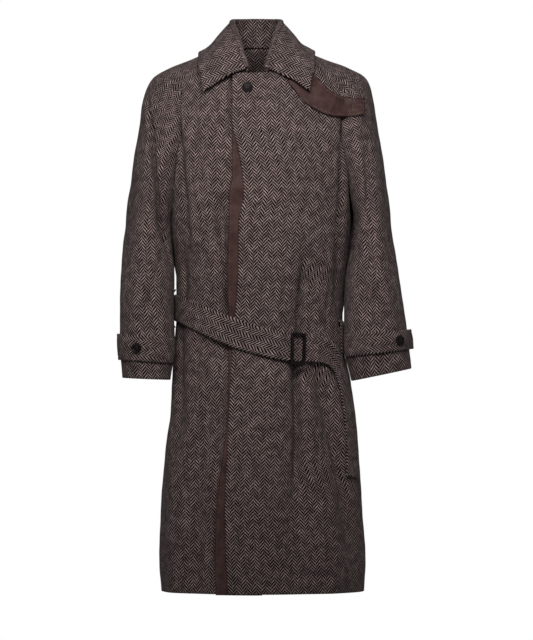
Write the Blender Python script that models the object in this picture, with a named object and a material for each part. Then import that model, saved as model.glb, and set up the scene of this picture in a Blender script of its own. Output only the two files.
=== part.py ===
"""Belted balmacaan coat in its worn, hollow form.

Metres, +Z up. The front faces -Y and the wearer's left side lies towards +X.
The origin is between the shoulders at the base of the neck, where a wearer holds the coat up.
"""

import math

import bmesh
import bpy
import numpy as np
from mathutils import Matrix, Vector
from mathutils.bvhtree import BVHTree

# Cloth and gaps
TWEED = 0.0022
LEATHER = 0.0016
DOUBLE_TWEED = 0.0036
COLLAR_CLOTH = 0.0028
SEAM_GAP = 0.0008
SIDE_GAP = 0.0003
LYING_GAP = 0.0009
BELT_GAP = 0.0018

# Landmarks
SIDE_RADIUS = 0.17
ARM_LENGTH = 0.315
ARM_HALF_WIDTH = 0.045
UNDERARM_Z = -0.300
FRONT_NECK_Z = -0.007
BACK_NECK_Z = 0.046

# Overlap of the fronts and the concealed fly
UNDERLAP_X = 0.034
PLACKET_INNER_X = 0.008
PLACKET_TOP_Z = -0.050
PLACKET_FACE = 0.0029
PLACKET_DROP = 0.002
FLY_LIFT = 0.0096
LIFT_FULL_X = 0.020
LIFT_END_X = 0.105
BELT_RISE_X = -0.135
BELT_LEVEL_X = -0.056

# Belt, buckle and loops
BELT_WIDTH = 0.050
BUCKLE_WIDTH = 0.031
BUCKLE_HEIGHT = 0.062
BUCKLE_BAR = 0.0055
BUCKLE_X = 0.075
BUCKLE_Z = -0.5535
BUCKLE_CORNER = 0.004
BUCKLE_TILT = 3.0
BUCKLE_STAND = 0.0016
LOOP_WIDTH = 0.012
LOOP_HEIGHT = 0.076
LOOP_LEFT_ANGLE = 71.0
LOOP_RIGHT_ANGLE = -94.0
LOOP_LEFT_Z = -0.534
LOOP_RIGHT_Z = -0.474

# Cuff straps and buttons
STRAP_WIDTH = 0.040
STRAP_CLOTH = 0.0030
STRAP_GAP = 0.0008
STRAP_START = 0.05
STRAP_LEAVE = 0.49
LEFT_STRAP_END = 0.016
RIGHT_STRAP_END = 0.005
STRAP_POINT = 0.5
LEFT_STRAP_BOW = 0.004
RIGHT_STRAP_BOW = 0.001
LEFT_STRAP_ROW = 1.80
RIGHT_STRAP_ROW = 1.85
LEFT_BUTTON_COLUMN = 10
RIGHT_BUTTON_COLUMN = 8
BUTTON_GAP = 0.0006
BUTTON_RADIUS = 0.0102
BUTTON_THICK = 0.0032
# Shares of the radius and of the thickness, from the middle of the face over the rim to the back
BUTTON_PROFILE = (
    (0.0, 0.62), (0.58, 0.62), (0.70, 1.0), (0.88, 1.0), (1.0, 0.66), (0.92, 0.12), (0.80, 0.0), (0.0, 0.0),
)
FLY_BUTTON_RADIUS = 0.0090
FLY_BUTTON_THICK = 0.0026
TOP_BUTTON = (-0.0206, -0.0366)
FLY_BUTTONS = ((-0.022, -0.168), (-0.029, -0.298), (-0.026, -0.428))

# Mesh density: level rows below the underarm, closer together at the waist
SKIRT_ROWS = (
    -1.036, -0.985, -0.920, -0.850, -0.785, -0.725, -0.670, -0.625, -0.590,
    -0.562, -0.534, -0.506, -0.478, -0.450, -0.420, -0.380, -0.340, -0.300,
)
FRONT_COLUMNS = 20
BACK_COLUMNS = 31
YOKE_ROWS = 8
YOKE_SPACING = 0.9
SHARE_GAP = 0.0014
SLEEVE_COLUMNS = 9
SLEEVE_ARM_ROWS = 10


def table(columns, rows):
    """A table as one array for each named column."""
    return {name: np.array(values, float) for name, values in zip(columns.split(), zip(*rows))}


# Half widths and depths of the coat's level sections, from the collar down to the hem
BODY = table(
    "z right left front back square",
    [
        (0.060, 0.105, 0.105, 0.032, 0.059, 2.0),
        (0.030, 0.135, 0.135, 0.054, 0.075, 2.0),
        (0.000, 0.172, 0.175, 0.082, 0.095, 2.3),
        (-0.040, 0.192, 0.197, 0.105, 0.113, 2.5),
        (-0.100, 0.188, 0.197, 0.124, 0.127, 2.6),
        (-0.180, 0.181, 0.192, 0.137, 0.133, 2.6),
        (-0.300, 0.174, 0.186, 0.139, 0.127, 2.5),
        (-0.400, 0.164, 0.175, 0.130, 0.113, 2.4),
        (-0.480, 0.163, 0.169, 0.122, 0.104, 2.3),
        (-0.550, 0.168, 0.171, 0.121, 0.106, 2.3),
        (-0.620, 0.173, 0.187, 0.133, 0.122, 2.3),
        (-0.680, 0.177, 0.198, 0.144, 0.136, 2.3),
        (-0.740, 0.186, 0.204, 0.153, 0.146, 2.3),
        (-0.880, 0.197, 0.212, 0.171, 0.167, 2.3),
        (-0.980, 0.200, 0.218, 0.181, 0.179, 2.3),
        (-1.036, 0.195, 0.214, 0.185, 0.184, 2.3),
    ],
)

# Front edges: the outer front's edge gapes away from the leather fly placket beneath it
FLY_EDGE = table(
    "z outer placket",
    [
        (0.010, -0.049, -0.046),
        (-0.108, -0.049, -0.050),
        (-0.150, -0.039, -0.0504),
        (-0.210, -0.0285, -0.0506),
        (-0.246, -0.0264, -0.0555),
        (-0.306, -0.036, -0.0575),
        (-0.400, -0.037, -0.0596),
        (-0.480, -0.0426, -0.0584),
        (-0.560, -0.049, -0.0575),
        (-0.680, -0.0545, -0.0600),
        (-0.774, -0.0588, -0.0696),
        (-0.864, -0.0622, -0.0805),
        (-0.950, -0.0608, -0.0838),
        (-1.040, -0.0556, -0.0824),
    ],
)

# Raglan seam on the body, with the sleeve's crest above each of its points
RAGLAN = table(
    "z right left right_crest_x right_crest_z left_crest_x left_crest_z depth back_rise arch",
    [
        (0.030, 0.071, 0.070, 0.079, 0.047, 0.077, 0.047, 0.000, 0.012, 2.0),
        (0.010, 0.123, 0.128, 0.131, 0.023, 0.133, 0.023, 0.000, 0.009, 2.0),
        (-0.018, 0.147, 0.154, 0.174, 0.005, 0.179, 0.005, 0.000, 0.006, 1.7),
        (-0.055, 0.153, 0.166, 0.211, -0.019, 0.214, -0.020, 0.078, 0.003, 1.3),
        (-0.104, 0.158, 0.173, 0.2325, -0.078, 0.2325, -0.078, 0.086, 0.000, 1.0),
        (-0.180, 0.164, 0.178, 0.2482, -0.178, 0.2500, -0.172, 0.095, 0.000, 1.0),
        (-0.250, 0.1695, 0.182, 0.2585, -0.250, 0.2600, -0.250, 0.099, 0.000, 1.0),
        (-0.300, 0.174, 0.186, 0.2645, -0.303, 0.2660, -0.306, 0.099, 0.000, 1.0),
    ],
)

# Sleeve loops from the underarm down to the cuff: inner and outer ends, half depth and middle
ARM = table(
    "step right_in right_in_z right_out right_out_z left_in left_in_z left_out left_out_z depth middle",
    [
        (0.0, 0.1745, -0.300, 0.2645, -0.303, 0.1865, -0.300, 0.2660, -0.306, 0.099, 0.004),
        (1.0, 0.1705, -0.352, 0.2700, -0.350, 0.1820, -0.358, 0.2740, -0.362, 0.096, -0.004),
        (2.0, 0.1667, -0.412, 0.2735, -0.413, 0.1735, -0.420, 0.2825, -0.420, 0.088, -0.021),
        (3.0, 0.1677, -0.470, 0.2745, -0.466, 0.1718, -0.482, 0.2905, -0.476, 0.079, -0.039),
        (4.0, 0.1655, -0.540, 0.2755, -0.530, 0.1720, -0.548, 0.2985, -0.536, 0.069, -0.054),
        (5.0, 0.1735, -0.615, 0.2710, -0.611, 0.1865, -0.617, 0.3065, -0.592, 0.058, -0.064),
    ],
)

# Soft vertical folds of the body; a negative depth is a ridge
FOLD_COLUMNS = "top_angle bottom_angle top_z bottom_z half_width depth"
BODY_FOLDS = table(
    FOLD_COLUMNS,
    [
        (27.0, 25.0, -0.340, -0.600, 4.0, 0.007),
        (23.0, 15.0, -0.500, -0.980, 5.0, 0.011),
        (31.0, 62.0, -0.560, -1.020, 8.0, 0.012),
        (46.0, 38.0, -0.640, -1.160, 9.0, -0.007),
        (4.0, 0.0, -0.640, -1.160, 9.0, -0.004),
        (-74.0, -52.0, -0.440, -0.820, 7.0, 0.009),
        (-33.0, -36.0, -0.570, -1.120, 8.0, 0.011),
        (-54.0, -58.0, -0.640, -1.160, 9.0, -0.007),
        (90.0, 94.0, -0.580, -1.120, 8.0, 0.010),
        (116.0, 118.0, -0.620, -1.160, 9.0, -0.008),
        (141.0, 137.0, -0.560, -1.160, 8.0, 0.014),
        (162.0, 160.0, -0.620, -1.160, 9.0, -0.008),
        (183.0, 179.0, -0.560, -1.160, 8.0, 0.013),
        (204.0, 200.0, -0.620, -1.160, 9.0, -0.008),
        (221.0, 226.0, -0.560, -1.160, 8.0, 0.014),
        (246.0, 248.0, -0.620, -1.160, 9.0, -0.008),
        (268.0, 266.0, -0.580, -1.120, 8.0, 0.010),
        (150.0, 158.0, -0.130, -0.520, 8.0, 0.008),
        (211.0, 203.0, -0.150, -0.520, 8.0, 0.008),
        (62.0, 66.0, -0.230, -0.500, 7.0, 0.007),
        (-58.0, -64.0, -0.200, -0.500, 7.0, 0.007),
    ],
)
# The under front falls back beside the placket above the belt
RECESS_FOLDS = table(FOLD_COLUMNS, [(-27.0, -27.0, -0.240, -0.540, 4.5, 0.011)])

# Folds that wind round each sleeve, measured from its inner side round by the front
RIGHT_SLEEVE_FOLDS = table(
    FOLD_COLUMNS,
    [
        (140.0, 20.0, -0.040, -0.400, 15.0, 0.011),
        (100.0, 60.0, -0.360, -0.600, 16.0, 0.006),
        (236.0, 300.0, -0.150, -0.480, 18.0, 0.008),
    ],
)
LEFT_SLEEVE_FOLDS = table(
    FOLD_COLUMNS,
    [
        (128.0, 70.0, -0.070, -0.460, 15.0, 0.008),
        (60.0, 104.0, -0.380, -0.610, 16.0, 0.006),
        (232.0, 296.0, -0.150, -0.480, 18.0, 0.008),
    ],
)

# Belt's centre line round the coat; angles past 360 lie over the first lap
BELT = table(
    "angle z layer",
    [
        (16.0, -0.5520, 0.0),
        (40.0, -0.5480, 0.0),
        (70.0, -0.5380, 0.0),
        (100.0, -0.5250, 0.0),
        (180.0, -0.4950, 0.0),
        (250.0, -0.4720, 0.0),
        (285.0, -0.4740, 0.0),
        (310.0, -0.4870, 0.0),
        (340.0, -0.5140, 0.0),
        (356.0, -0.5330, 0.0),
        (370.0, -0.5470, 1.0),
        (380.0, -0.5525, 1.0),
        (390.0, -0.5535, 1.0),
    ],
)
# Belt's free end: it turns down beyond the buckle and hangs at the side
BELT_END = table(
    "angle z layer",
    [
        (390.0, -0.5535, 1.0),
        (399.0, -0.5540, 1.0),
        (409.0, -0.5610, 1.0),
        (417.5, -0.5800, 1.0),
        (421.5, -0.6080, 0.85),
        (423.0, -0.6400, 0.4),
        (423.5, -0.7000, 0.1),
        (423.0, -0.7600, 0.0),
        (421.5, -0.8080, 0.0),
    ],
)

SHOULDER_GAP = 0.0018
SHOULDER_REACH = 0.008
# Leather shoulder strap seen from the front: upper and lower edges, from under the collar outwards
SHOULDER_STRAP = table(
    "step upper_x upper_z lower_x lower_z",
    [
        (0.0, 0.1020, 0.0020, 0.0600, -0.0240),
        (1.0, 0.1120, -0.0120, 0.0740, -0.0430),
        (2.0, 0.1240, -0.0260, 0.0930, -0.0660),
        (3.0, 0.1430, -0.0430, 0.1200, -0.0830),
        (4.0, 0.1660, -0.0540, 0.1530, -0.0930),
        (5.0, 0.1900, -0.0578, 0.1870, -0.0926),
        (6.0, 0.2105, -0.0566, 0.2110, -0.0872),
    ],
)

# Collar ribs from the front end (0) to the back of the neck (1): roll line and outer edge
COLLAR = table(
    "share roll_x roll_y roll_z edge_x edge_y edge_z",
    [
        (0.00, 0.0190, -0.0960, 0.0030, 0.1050, -0.1120, -0.0440),
        (0.12, 0.0280, -0.0860, 0.0300, 0.1090, -0.1040, -0.0160),
        (0.28, 0.0380, -0.0620, 0.0640, 0.1110, -0.0760, 0.0140),
        (0.48, 0.0490, -0.0080, 0.0950, 0.1010, -0.0060, 0.0340),
        (0.68, 0.0450, 0.0380, 0.1000, 0.0900, 0.0540, 0.0330),
        (0.86, 0.0230, 0.0620, 0.1010, 0.0520, 0.0940, 0.0270),
        (1.00, 0.0000, 0.0670, 0.1015, 0.0000, 0.1040, 0.0240),
    ],
)
COLLAR_CENTRE_X = -0.003
COLLAR_FOLD_RADIUS = 0.0042
COLLAR_HALF_RIBS = 15
COLLAR_GAP = 0.0050
COLLAR_FOOT_GAP = 0.0032


def read(rows, column, value, key="z"):
    """A column read at any value of the key, by a monotone cubic through its rows."""
    order = np.argsort(rows[key])
    x, y = rows[key][order], rows[column][order]
    step = np.diff(x)
    slope = np.diff(y) / step
    tangent = np.empty_like(y)
    tangent[0], tangent[-1] = slope[0], slope[-1]
    same = slope[:-1] * slope[1:] > 0
    with np.errstate(divide="ignore", invalid="ignore"):
        mean = 2.0 * slope[:-1] * slope[1:] / (slope[:-1] + slope[1:])
    tangent[1:-1] = np.where(same, mean, 0.0)
    value = np.clip(value, x[0], x[-1])
    i = np.clip(np.searchsorted(x, value) - 1, 0, len(step) - 1)
    t = (value - x[i]) / step[i]
    return (
        y[i] * (1 + 2 * t) * (1 - t) ** 2
        + step[i] * tangent[i] * t * (1 - t) ** 2
        + y[i + 1] * t**2 * (3 - 2 * t)
        + step[i] * tangent[i + 1] * t**2 * (t - 1)
    )


def ease(t):
    t = np.clip(t, 0.0, 1.0)
    return t * t * (3 - 2 * t)


def unit(v):
    return v / np.maximum(np.linalg.norm(v, axis=-1, keepdims=True), 1e-12)


def fold_depth(folds, angle, z):
    """How far the folds push the cloth inwards at an angle in degrees and a height."""
    total = np.zeros(np.broadcast(angle, z).shape)
    for i in range(len(folds["depth"])):
        top, bottom = folds["top_z"][i], folds["bottom_z"][i]
        along = (z - top) / (bottom - top)
        centre = folds["top_angle"][i] + (folds["bottom_angle"][i] - folds["top_angle"][i]) * along
        across = (angle - centre + 180.0) % 360.0 - 180.0
        fade = ease(along / 0.3) * ease((1 - along) / 0.3)
        total = total + folds["depth"][i] * fade * np.exp(-((across / folds["half_width"][i]) ** 2))
    return total


# Body surface: angle 0 is the front, 90 the wearer's left side and 180 the back


def half_width(x_sign, z):
    return np.where(x_sign >= 0, read(BODY, "left", z), read(BODY, "right", z))


def ring(angle, z):
    turn = np.radians(angle)
    sine, cosine = np.sin(turn), np.cos(turn)
    power = 2.0 / read(BODY, "square", z)
    depth = np.where(cosine >= 0, read(BODY, "front", z), read(BODY, "back", z))
    x = half_width(sine, z) * np.sign(sine) * np.abs(sine) ** power
    y = -depth * np.sign(cosine) * np.abs(cosine) ** power
    return np.stack(np.broadcast_arrays(x, y, z), axis=-1)


def ring_angle(x, z):
    """Angle on the front half of the section where it reaches x."""
    share = np.clip(np.abs(x) / half_width(x, z), 0.0, 1.0)
    return np.sign(x) * np.degrees(np.arcsin(share ** (read(BODY, "square", z) / 2.0)))


def body(angle, z, out=0.0, folds=BODY_FOLDS, extra=None):
    """Points on the coat's outer surface, moved out level by a distance."""
    angle, z = np.broadcast_arrays(np.asarray(angle, float), np.asarray(z, float))
    step = 0.6
    along = ring(angle + step, z) - ring(angle - step, z)
    outward = unit(np.stack([along[..., 1], -along[..., 0], np.zeros_like(z)], axis=-1))
    push = np.zeros_like(z) + out
    for rows in (folds, extra):
        if rows is not None:
            push = push - fold_depth(rows, angle, z)
    return ring(angle, z) + push[..., None] * outward


def normals(surface, u, v, step_u, step_v):
    """Outward unit normals of surface(u, v), by differences."""
    across = surface(u + step_u, v) - surface(u - step_u, v)
    along = surface(u, v + step_v) - surface(u, v - step_v)
    return unit(np.cross(across, along))


def fly_lift(x):
    """How far the outer front stands off the under front near its edge."""
    return FLY_LIFT * (1 - ease((x - LIFT_FULL_X) / (LIFT_END_X - LIFT_FULL_X)))


def belt_base(x, angle):
    """The layers under the belt, bridged down to the under front on the far side of the edge."""
    front = np.cos(np.radians(angle)) > 0
    rise = ease((x - BELT_RISE_X) / (BELT_LEVEL_X - BELT_RISE_X))
    return np.where(front, fly_lift(x) * rise, 0.0)


def outer_front(angle, z):
    """The overlapping front, lifted over the under front and the placket."""
    x = ring(angle, z)[..., 0]
    return body(angle, z, out=fly_lift(x))


# Panels


def seam_angle(side, z):
    """Angle of the raglan seam on the front half of a side, +1 for the wearer's left."""
    column = "left" if side > 0 else "right"
    return np.abs(ring_angle(side * read(RAGLAN, column, z), z))


def panel_rows():
    """Side heights of a panel's rows, from the hem up to the neck."""
    skirt = np.array(SKIRT_ROWS)
    lift = np.linspace(0.0, 1.0, YOKE_ROWS + 1)[1:]
    yoke = UNDERARM_Z + (RAGLAN["z"][0] - UNDERARM_Z) * lift**YOKE_SPACING
    return skirt, yoke


def front_grid(side, edge_x):
    """Angles and heights of a front, from its centre edge to its side seam and raglan seam."""
    skirt, yoke = panel_rows()
    share = np.linspace(0.0, 1.0, FRONT_COLUMNS)
    angles, heights = [], []
    for z in np.concatenate([skirt, yoke]):
        above = max(0.0, z - UNDERARM_Z)
        gap = math.degrees((SEAM_GAP if above else SIDE_GAP) / SIDE_RADIUS)
        reach = (FRONT_NECK_Z - UNDERARM_Z) / (RAGLAN["z"][0] - UNDERARM_Z)
        centre_z = z if above == 0 else UNDERARM_Z + above * reach
        side_angle = 90.0 if above == 0 else seam_angle(side, z)
        start = ring_angle(edge_x(centre_z), centre_z)
        angles.append(start + (side * (side_angle - gap) - start) * share)
        heights.append(centre_z + (z - centre_z) * share**3)
    return np.array(angles), np.array(heights)


def back_grid():
    """Angles and heights of the back, from the wearer's left seam round to the right seam."""
    skirt, yoke = panel_rows()
    share = np.linspace(0.0, 1.0, BACK_COLUMNS)
    angles, heights = [], []
    for z in np.concatenate([skirt, yoke]):
        above = max(0.0, z - UNDERARM_Z)
        gap = math.degrees((SEAM_GAP if above else SIDE_GAP) / SIDE_RADIUS)
        rise = read(RAGLAN, "back_rise", z) if above else 0.0
        reach = (BACK_NECK_Z - UNDERARM_Z) / (RAGLAN["z"][0] - UNDERARM_Z)
        centre_z = z if above == 0 else UNDERARM_Z + above * reach
        left = 90.0 if above == 0 else 180.0 - seam_angle(1, z)
        right = 270.0 if above == 0 else 180.0 + seam_angle(-1, z)
        angles.append(left + gap + (right - left - 2 * gap) * share)
        heights.append(centre_z + (z + rise - centre_z) * np.abs(2 * share - 1) ** 3)
    return np.array(angles), np.array(heights)


def wall_points(surface, u, v, step_u, step_v, thickness):
    """Outer and inner points of a wall whose outside is surface(u, v)."""
    outer = surface(u, v)
    return outer, outer - thickness * normals(surface, u, v, step_u, step_v)


# Sleeves


def sleeve_section(side, row):
    """One section of a sleeve: row 0 to 1 runs down the raglan seam, 1 to 2 down the arm."""
    name = "left" if side > 0 else "right"
    if row < 1.0:
        z = RAGLAN["z"][0] + (UNDERARM_Z - RAGLAN["z"][0]) * row
        seam = np.array([float(read(RAGLAN, name, z)), z])
        crest = np.array([float(read(RAGLAN, f"{name}_crest_{a}", z)) for a in "xz"])
        angle = float(seam_angle(side, z))
        front = body(side * angle, z)
        back = body(side * (180.0 - angle), z + float(read(RAGLAN, "back_rise", z)))
        middle, reach = (front[1] + back[1]) / 2, (back[1] - front[1]) / 2
        depth = max(float(read(RAGLAN, "depth", z)), reach)
        opening = math.asin(min(1.0, reach / depth))
        arch = float(read(RAGLAN, "arch", z))
        front_end = np.array([side * front[0] - seam[0], 0.0])
        back_end = np.array([side * back[0] - seam[0], back[2] - z])
        ends = (front_end, back_end)
    else:
        step = (row - 1.0) * ARM["step"][-1]
        seam = np.array([float(read(ARM, f"{name}_in{a}", step, "step")) for a in ("", "_z")])
        crest = np.array([float(read(ARM, f"{name}_out{a}", step, "step")) for a in ("", "_z")])
        depth = float(read(ARM, "depth", step, "step"))
        middle = float(read(ARM, "middle", step, "step"))
        opening, arch = 0.0, 1.0
        ends = (np.zeros(2), np.zeros(2))
    centre = crest + (seam - crest) / (1 + math.cos(opening))
    return centre, crest, middle, depth, opening, arch, ends


def sleeve_points(side, folds, share, row):
    """Points of a sleeve: share 0 to 1 runs from the front seam over the crest to the back seam."""
    points = np.empty(share.shape + (3,))
    sections = {}
    for i in np.ndindex(share.shape):
        key = float(row[i])
        if key not in sections:
            sections[key] = sleeve_section(side, key)
        centre, crest, middle, depth, opening, arch, ends = sections[key]
        even = math.acos(1 - 2 * min(1.0, max(0.0, share[i]))) / math.pi
        turn = opening + ((2 - arch) * share[i] + (arch - 1) * even) * (2 * math.pi - 2 * opening)
        reach = math.cos(turn)
        if reach < 0:
            reach = -((-reach) ** arch)
        x, z = centre + (centre - crest) * reach
        inward = 0.0
        if folds is not None:
            inward = float(fold_depth(folds, math.degrees(turn), np.asarray(z)))
        shrink = 1.0 - inward / math.hypot(depth * math.sin(turn), ARM_HALF_WIDTH * math.cos(turn))
        x = centre[0] + (x - centre[0]) * shrink
        across = 0.5
        if opening > 0:
            across = min(1.0, max(0.0, 0.5 - 0.5 * math.sin(turn) / math.sin(opening)))
        shift = ends[0] * (1 - across) + ends[1] * across
        x, z = np.array([x, z]) + shift + SEAM_GAP * unit(crest - centre)
        points[i] = side * x, middle - depth * math.sin(turn) * shrink, z
    return points


def sleeve_grid(start, end):
    lift = np.linspace(1.0, 0.0, YOKE_ROWS + 1)[:-1]
    arm = np.linspace(1.0, 2.0, SLEEVE_ARM_ROWS)
    share = np.linspace(start, end, SLEEVE_COLUMNS)
    return np.meshgrid(share, np.concatenate([1 - lift**YOKE_SPACING, arm]))


def sleeve_wall(side, folds, start, end):
    """Outer and inner points of a part of a sleeve."""
    share, row = sleeve_grid(start, end)

    def surface(s, r):
        kept = np.where(r < 1.0, np.clip(s, 0.0, 1.0), s)
        return sleeve_points(side, folds, kept, np.clip(r, 0.0, 2.0))

    outer = surface(share, row)
    facing = -side * normals(surface, share, row, 0.004, 0.004)
    return outer, outer - TWEED * facing


def share_seam(panel, panel_column, sleeve, sleeve_column):
    """Turn the wall of a panel and of a sleeve to one direction along their raglan seam."""
    for k in range(YOKE_ROWS):
        row, sleeve_row = len(SKIRT_ROWS) + k, YOKE_ROWS - 1 - k
        first = unit(panel[0][row, panel_column] - panel[1][row, panel_column])
        second = unit(sleeve[0][sleeve_row, sleeve_column] - sleeve[1][sleeve_row, sleeve_column])
        shared = unit(first + second)
        shared = shared * TWEED / max(0.6, float(np.dot(shared, first)))
        panel[1][row, panel_column] = panel[0][row, panel_column] - shared
        sleeve[1][sleeve_row, sleeve_column] = sleeve[0][sleeve_row, sleeve_column] - shared


# Cuff straps


def cuff_strap(side, row, end, bow):
    """Outer and inner points of a strap round the front of a sleeve, its end leaving the sleeve."""
    share = np.linspace(STRAP_START, STRAP_LEAVE, 15)
    half_rows = STRAP_WIDTH / 2 / ARM_LENGTH
    shares, rows = np.meshgrid(share, row + np.linspace(-half_rows, half_rows, 5))

    def surface(s, r):
        return sleeve_points(side, None, s, r)

    facing = -side * normals(surface, shares, rows, 0.004, 0.004)
    lying = surface(shares, rows) + facing * STRAP_GAP
    leave = unit(lying[:, -1] - lying[:, -2])
    reaches = np.linspace(0.25, 1.0, 4)
    across = np.linspace(-1.0, 1.0, 5)
    tail = []
    for d in reaches:
        reach = end * d * (1 - STRAP_POINT * np.abs(across) * d)
        tail.append(lying[:, -1] + leave * reach[:, None] + facing[:, -1] * (bow * d * d))
    inner = np.concatenate([lying, np.stack(tail, axis=1)], axis=1)
    lift = np.concatenate([facing, np.repeat(facing[:, -1:], len(reaches), axis=1)], axis=1)
    return inner + lift * STRAP_CLOTH, inner


# Solids


def material(name, rgb, roughness):
    found = bpy.data.materials.new(name)
    found.use_nodes = True
    shader = found.node_tree.nodes["Principled BSDF"]
    shader.inputs["Base Color"].default_value = (*rgb, 1.0)
    shader.inputs["Roughness"].default_value = roughness
    return found


def grid_faces(mesh, points):
    """A grid of faces through an array of points; returns its boundary edges."""
    rows, columns = points.shape[:2]
    made = bmesh.ops.create_grid(mesh, x_segments=columns - 1, y_segments=rows - 1, size=1.0)["verts"]
    for vert in made:
        column = round((vert.co.x + 1) / 2 * (columns - 1))
        row = round((vert.co.y + 1) / 2 * (rows - 1))
        vert.co = Vector(points[row, column])
    return [e for e in {e for v in made for e in v.link_edges} if e.is_boundary]


def add_object(name, mesh, finish):
    data = bpy.data.meshes.new(name)
    bmesh.ops.recalc_face_normals(mesh, faces=mesh.faces)
    mesh.to_mesh(data)
    mesh.free()
    data.shade_smooth()
    data.set_sharp_from_angle(angle=math.radians(50))
    data.materials.append(finish)
    made = bpy.data.objects.new(name, data)
    bpy.data.collections["balmacaan_coat"].objects.link(made)
    return made


def wall(name, outer, inner, finish):
    """A cloth wall: two grids joined all round their edges."""
    mesh = bmesh.new()
    edges = grid_faces(mesh, outer) + grid_faces(mesh, inner)
    bmesh.ops.bridge_loops(mesh, edges=edges)
    return add_object(name, mesh, finish)


def surface_tree(*grids):
    """A search tree over the outer faces of panels."""
    points, faces = [], []
    for grid in grids:
        rows, columns = grid.shape[:2]
        first = len(points)
        points.extend(map(tuple, grid.reshape(-1, 3)))
        for r in range(rows - 1):
            for c in range(columns - 1):
                a = first + r * columns + c
                faces.append((a, a + 1, a + columns + 1, a + columns))
    return BVHTree.FromPolygons(points, faces)


def front_hits(tree, x, z, reach=0.0):
    """Where the panels meet the line of sight at x and z, the nearest one within a reach to each side."""
    found = []
    for shift in (-reach, 0.0, reach):
        hit = tree.ray_cast(Vector((x + shift, -1.0, z)), Vector((0, 1, 0)))[0]
        if hit is not None:
            found.append(hit.y)
    return min(found)


def button(name, centre, facing, radius, thickness, finish):
    """A turned button with a raised rim, its back resting on the cloth."""
    mesh = bmesh.new()
    verts = [mesh.verts.new((r * radius, 0.0, h * thickness)) for r, h in BUTTON_PROFILE]
    for a, b in zip(verts, verts[1:]):
        mesh.edges.new((a, b))
    bmesh.ops.spin(
        mesh,
        geom=mesh.verts[:] + mesh.edges[:],
        cent=(0, 0, 0),
        axis=(0, 0, 1),
        angle=2 * math.pi,
        steps=20,
    )
    bmesh.ops.remove_doubles(mesh, verts=mesh.verts, dist=1e-5)
    bmesh.ops.dissolve_degenerate(mesh, edges=mesh.edges, dist=1e-6)
    made = add_object(name, mesh, finish)
    made.rotation_mode = "QUATERNION"
    made.rotation_quaternion = Vector((0, 0, 1)).rotation_difference(Vector(facing))
    made.location = centre
    return made


# Belt


def belt_path(rows, count):
    """Angles, heights and layers at even steps through the rows of a belt table."""
    index = np.arange(len(rows["angle"]), dtype=float)
    at = np.linspace(0.0, index[-1], count)
    return [read({**rows, "index": index}, c, at, "index") for c in ("angle", "z", "layer")]


def belt_strip(rows_angle, rows_z, layer, width, thickness):
    """Outer and inner points of a strip that lies on the coat along a centre line."""
    point = body(rows_angle, rows_z, folds=None)
    along = np.gradient(point, axis=0)
    level = np.hypot(along[:, 0], along[:, 1]) * np.sign(np.gradient(rows_angle))
    slope = np.arctan2(along[:, 2], level)
    radius = np.hypot(point[:, 0], point[:, 1])
    across = np.linspace(-0.5, 0.5, 4) * width
    angle = rows_angle[:, None] - np.degrees(across[None] * np.sin(slope)[:, None] / radius[:, None])
    z = rows_z[:, None] + across[None] * np.cos(slope)[:, None]
    x = ring(angle, z)[..., 0]
    lap = layer[:, None] * (thickness + LYING_GAP)
    inner_out = belt_base(x, angle) + BELT_GAP + lap
    inner = body(angle, z, out=inner_out, folds=None)
    outer = body(angle, z, out=inner_out + thickness, folds=None)
    return outer, inner


def rounded_frame(name, width, height, bar, finish):
    """A rectangular frame with a round bar: a closed curve with a bevel, as a mesh."""
    curve = bpy.data.curves.new(name, "CURVE")
    curve.dimensions = "3D"
    curve.bevel_depth = bar / 2
    curve.bevel_resolution = 2
    spline = curve.splines.new("POLY")
    half_w, half_h = (width - bar) / 2, (height - bar) / 2
    outline = []
    for k, (sx, sz) in enumerate(((1, 1), (-1, 1), (-1, -1), (1, -1))):
        for step in range(4):
            turn = math.radians(90 * k + 30 * step)
            x = sx * (half_w - BUCKLE_CORNER) + BUCKLE_CORNER * math.cos(turn)
            z = sz * (half_h - BUCKLE_CORNER) + BUCKLE_CORNER * math.sin(turn)
            outline.append((x, 0.0, z))
    spline.points.add(len(outline) - 1)
    for place, co in zip(spline.points, outline):
        place.co = (*co, 1.0)
    spline.use_cyclic_u = True
    guide = bpy.data.objects.new(name + "_guide", curve)
    bpy.data.collections["balmacaan_coat"].objects.link(guide)
    bpy.context.view_layer.update()
    data = bpy.data.meshes.new_from_object(guide.evaluated_get(bpy.context.evaluated_depsgraph_get()))
    bpy.data.objects.remove(guide)
    mesh = bmesh.new()
    mesh.from_mesh(data)
    bmesh.ops.remove_doubles(mesh, verts=mesh.verts, dist=1e-6)
    return add_object(name, mesh, finish)


# Collar


def neckline(grids):
    """The neck edge all round as points, from the front of the neck round by the wearer's left."""
    points = np.concatenate(grids)
    turn = np.degrees(np.arctan2(points[:, 0] - COLLAR_CENTRE_X, -points[:, 1])) % 360.0
    order = np.argsort(turn)
    return turn[order], points[order]


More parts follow.
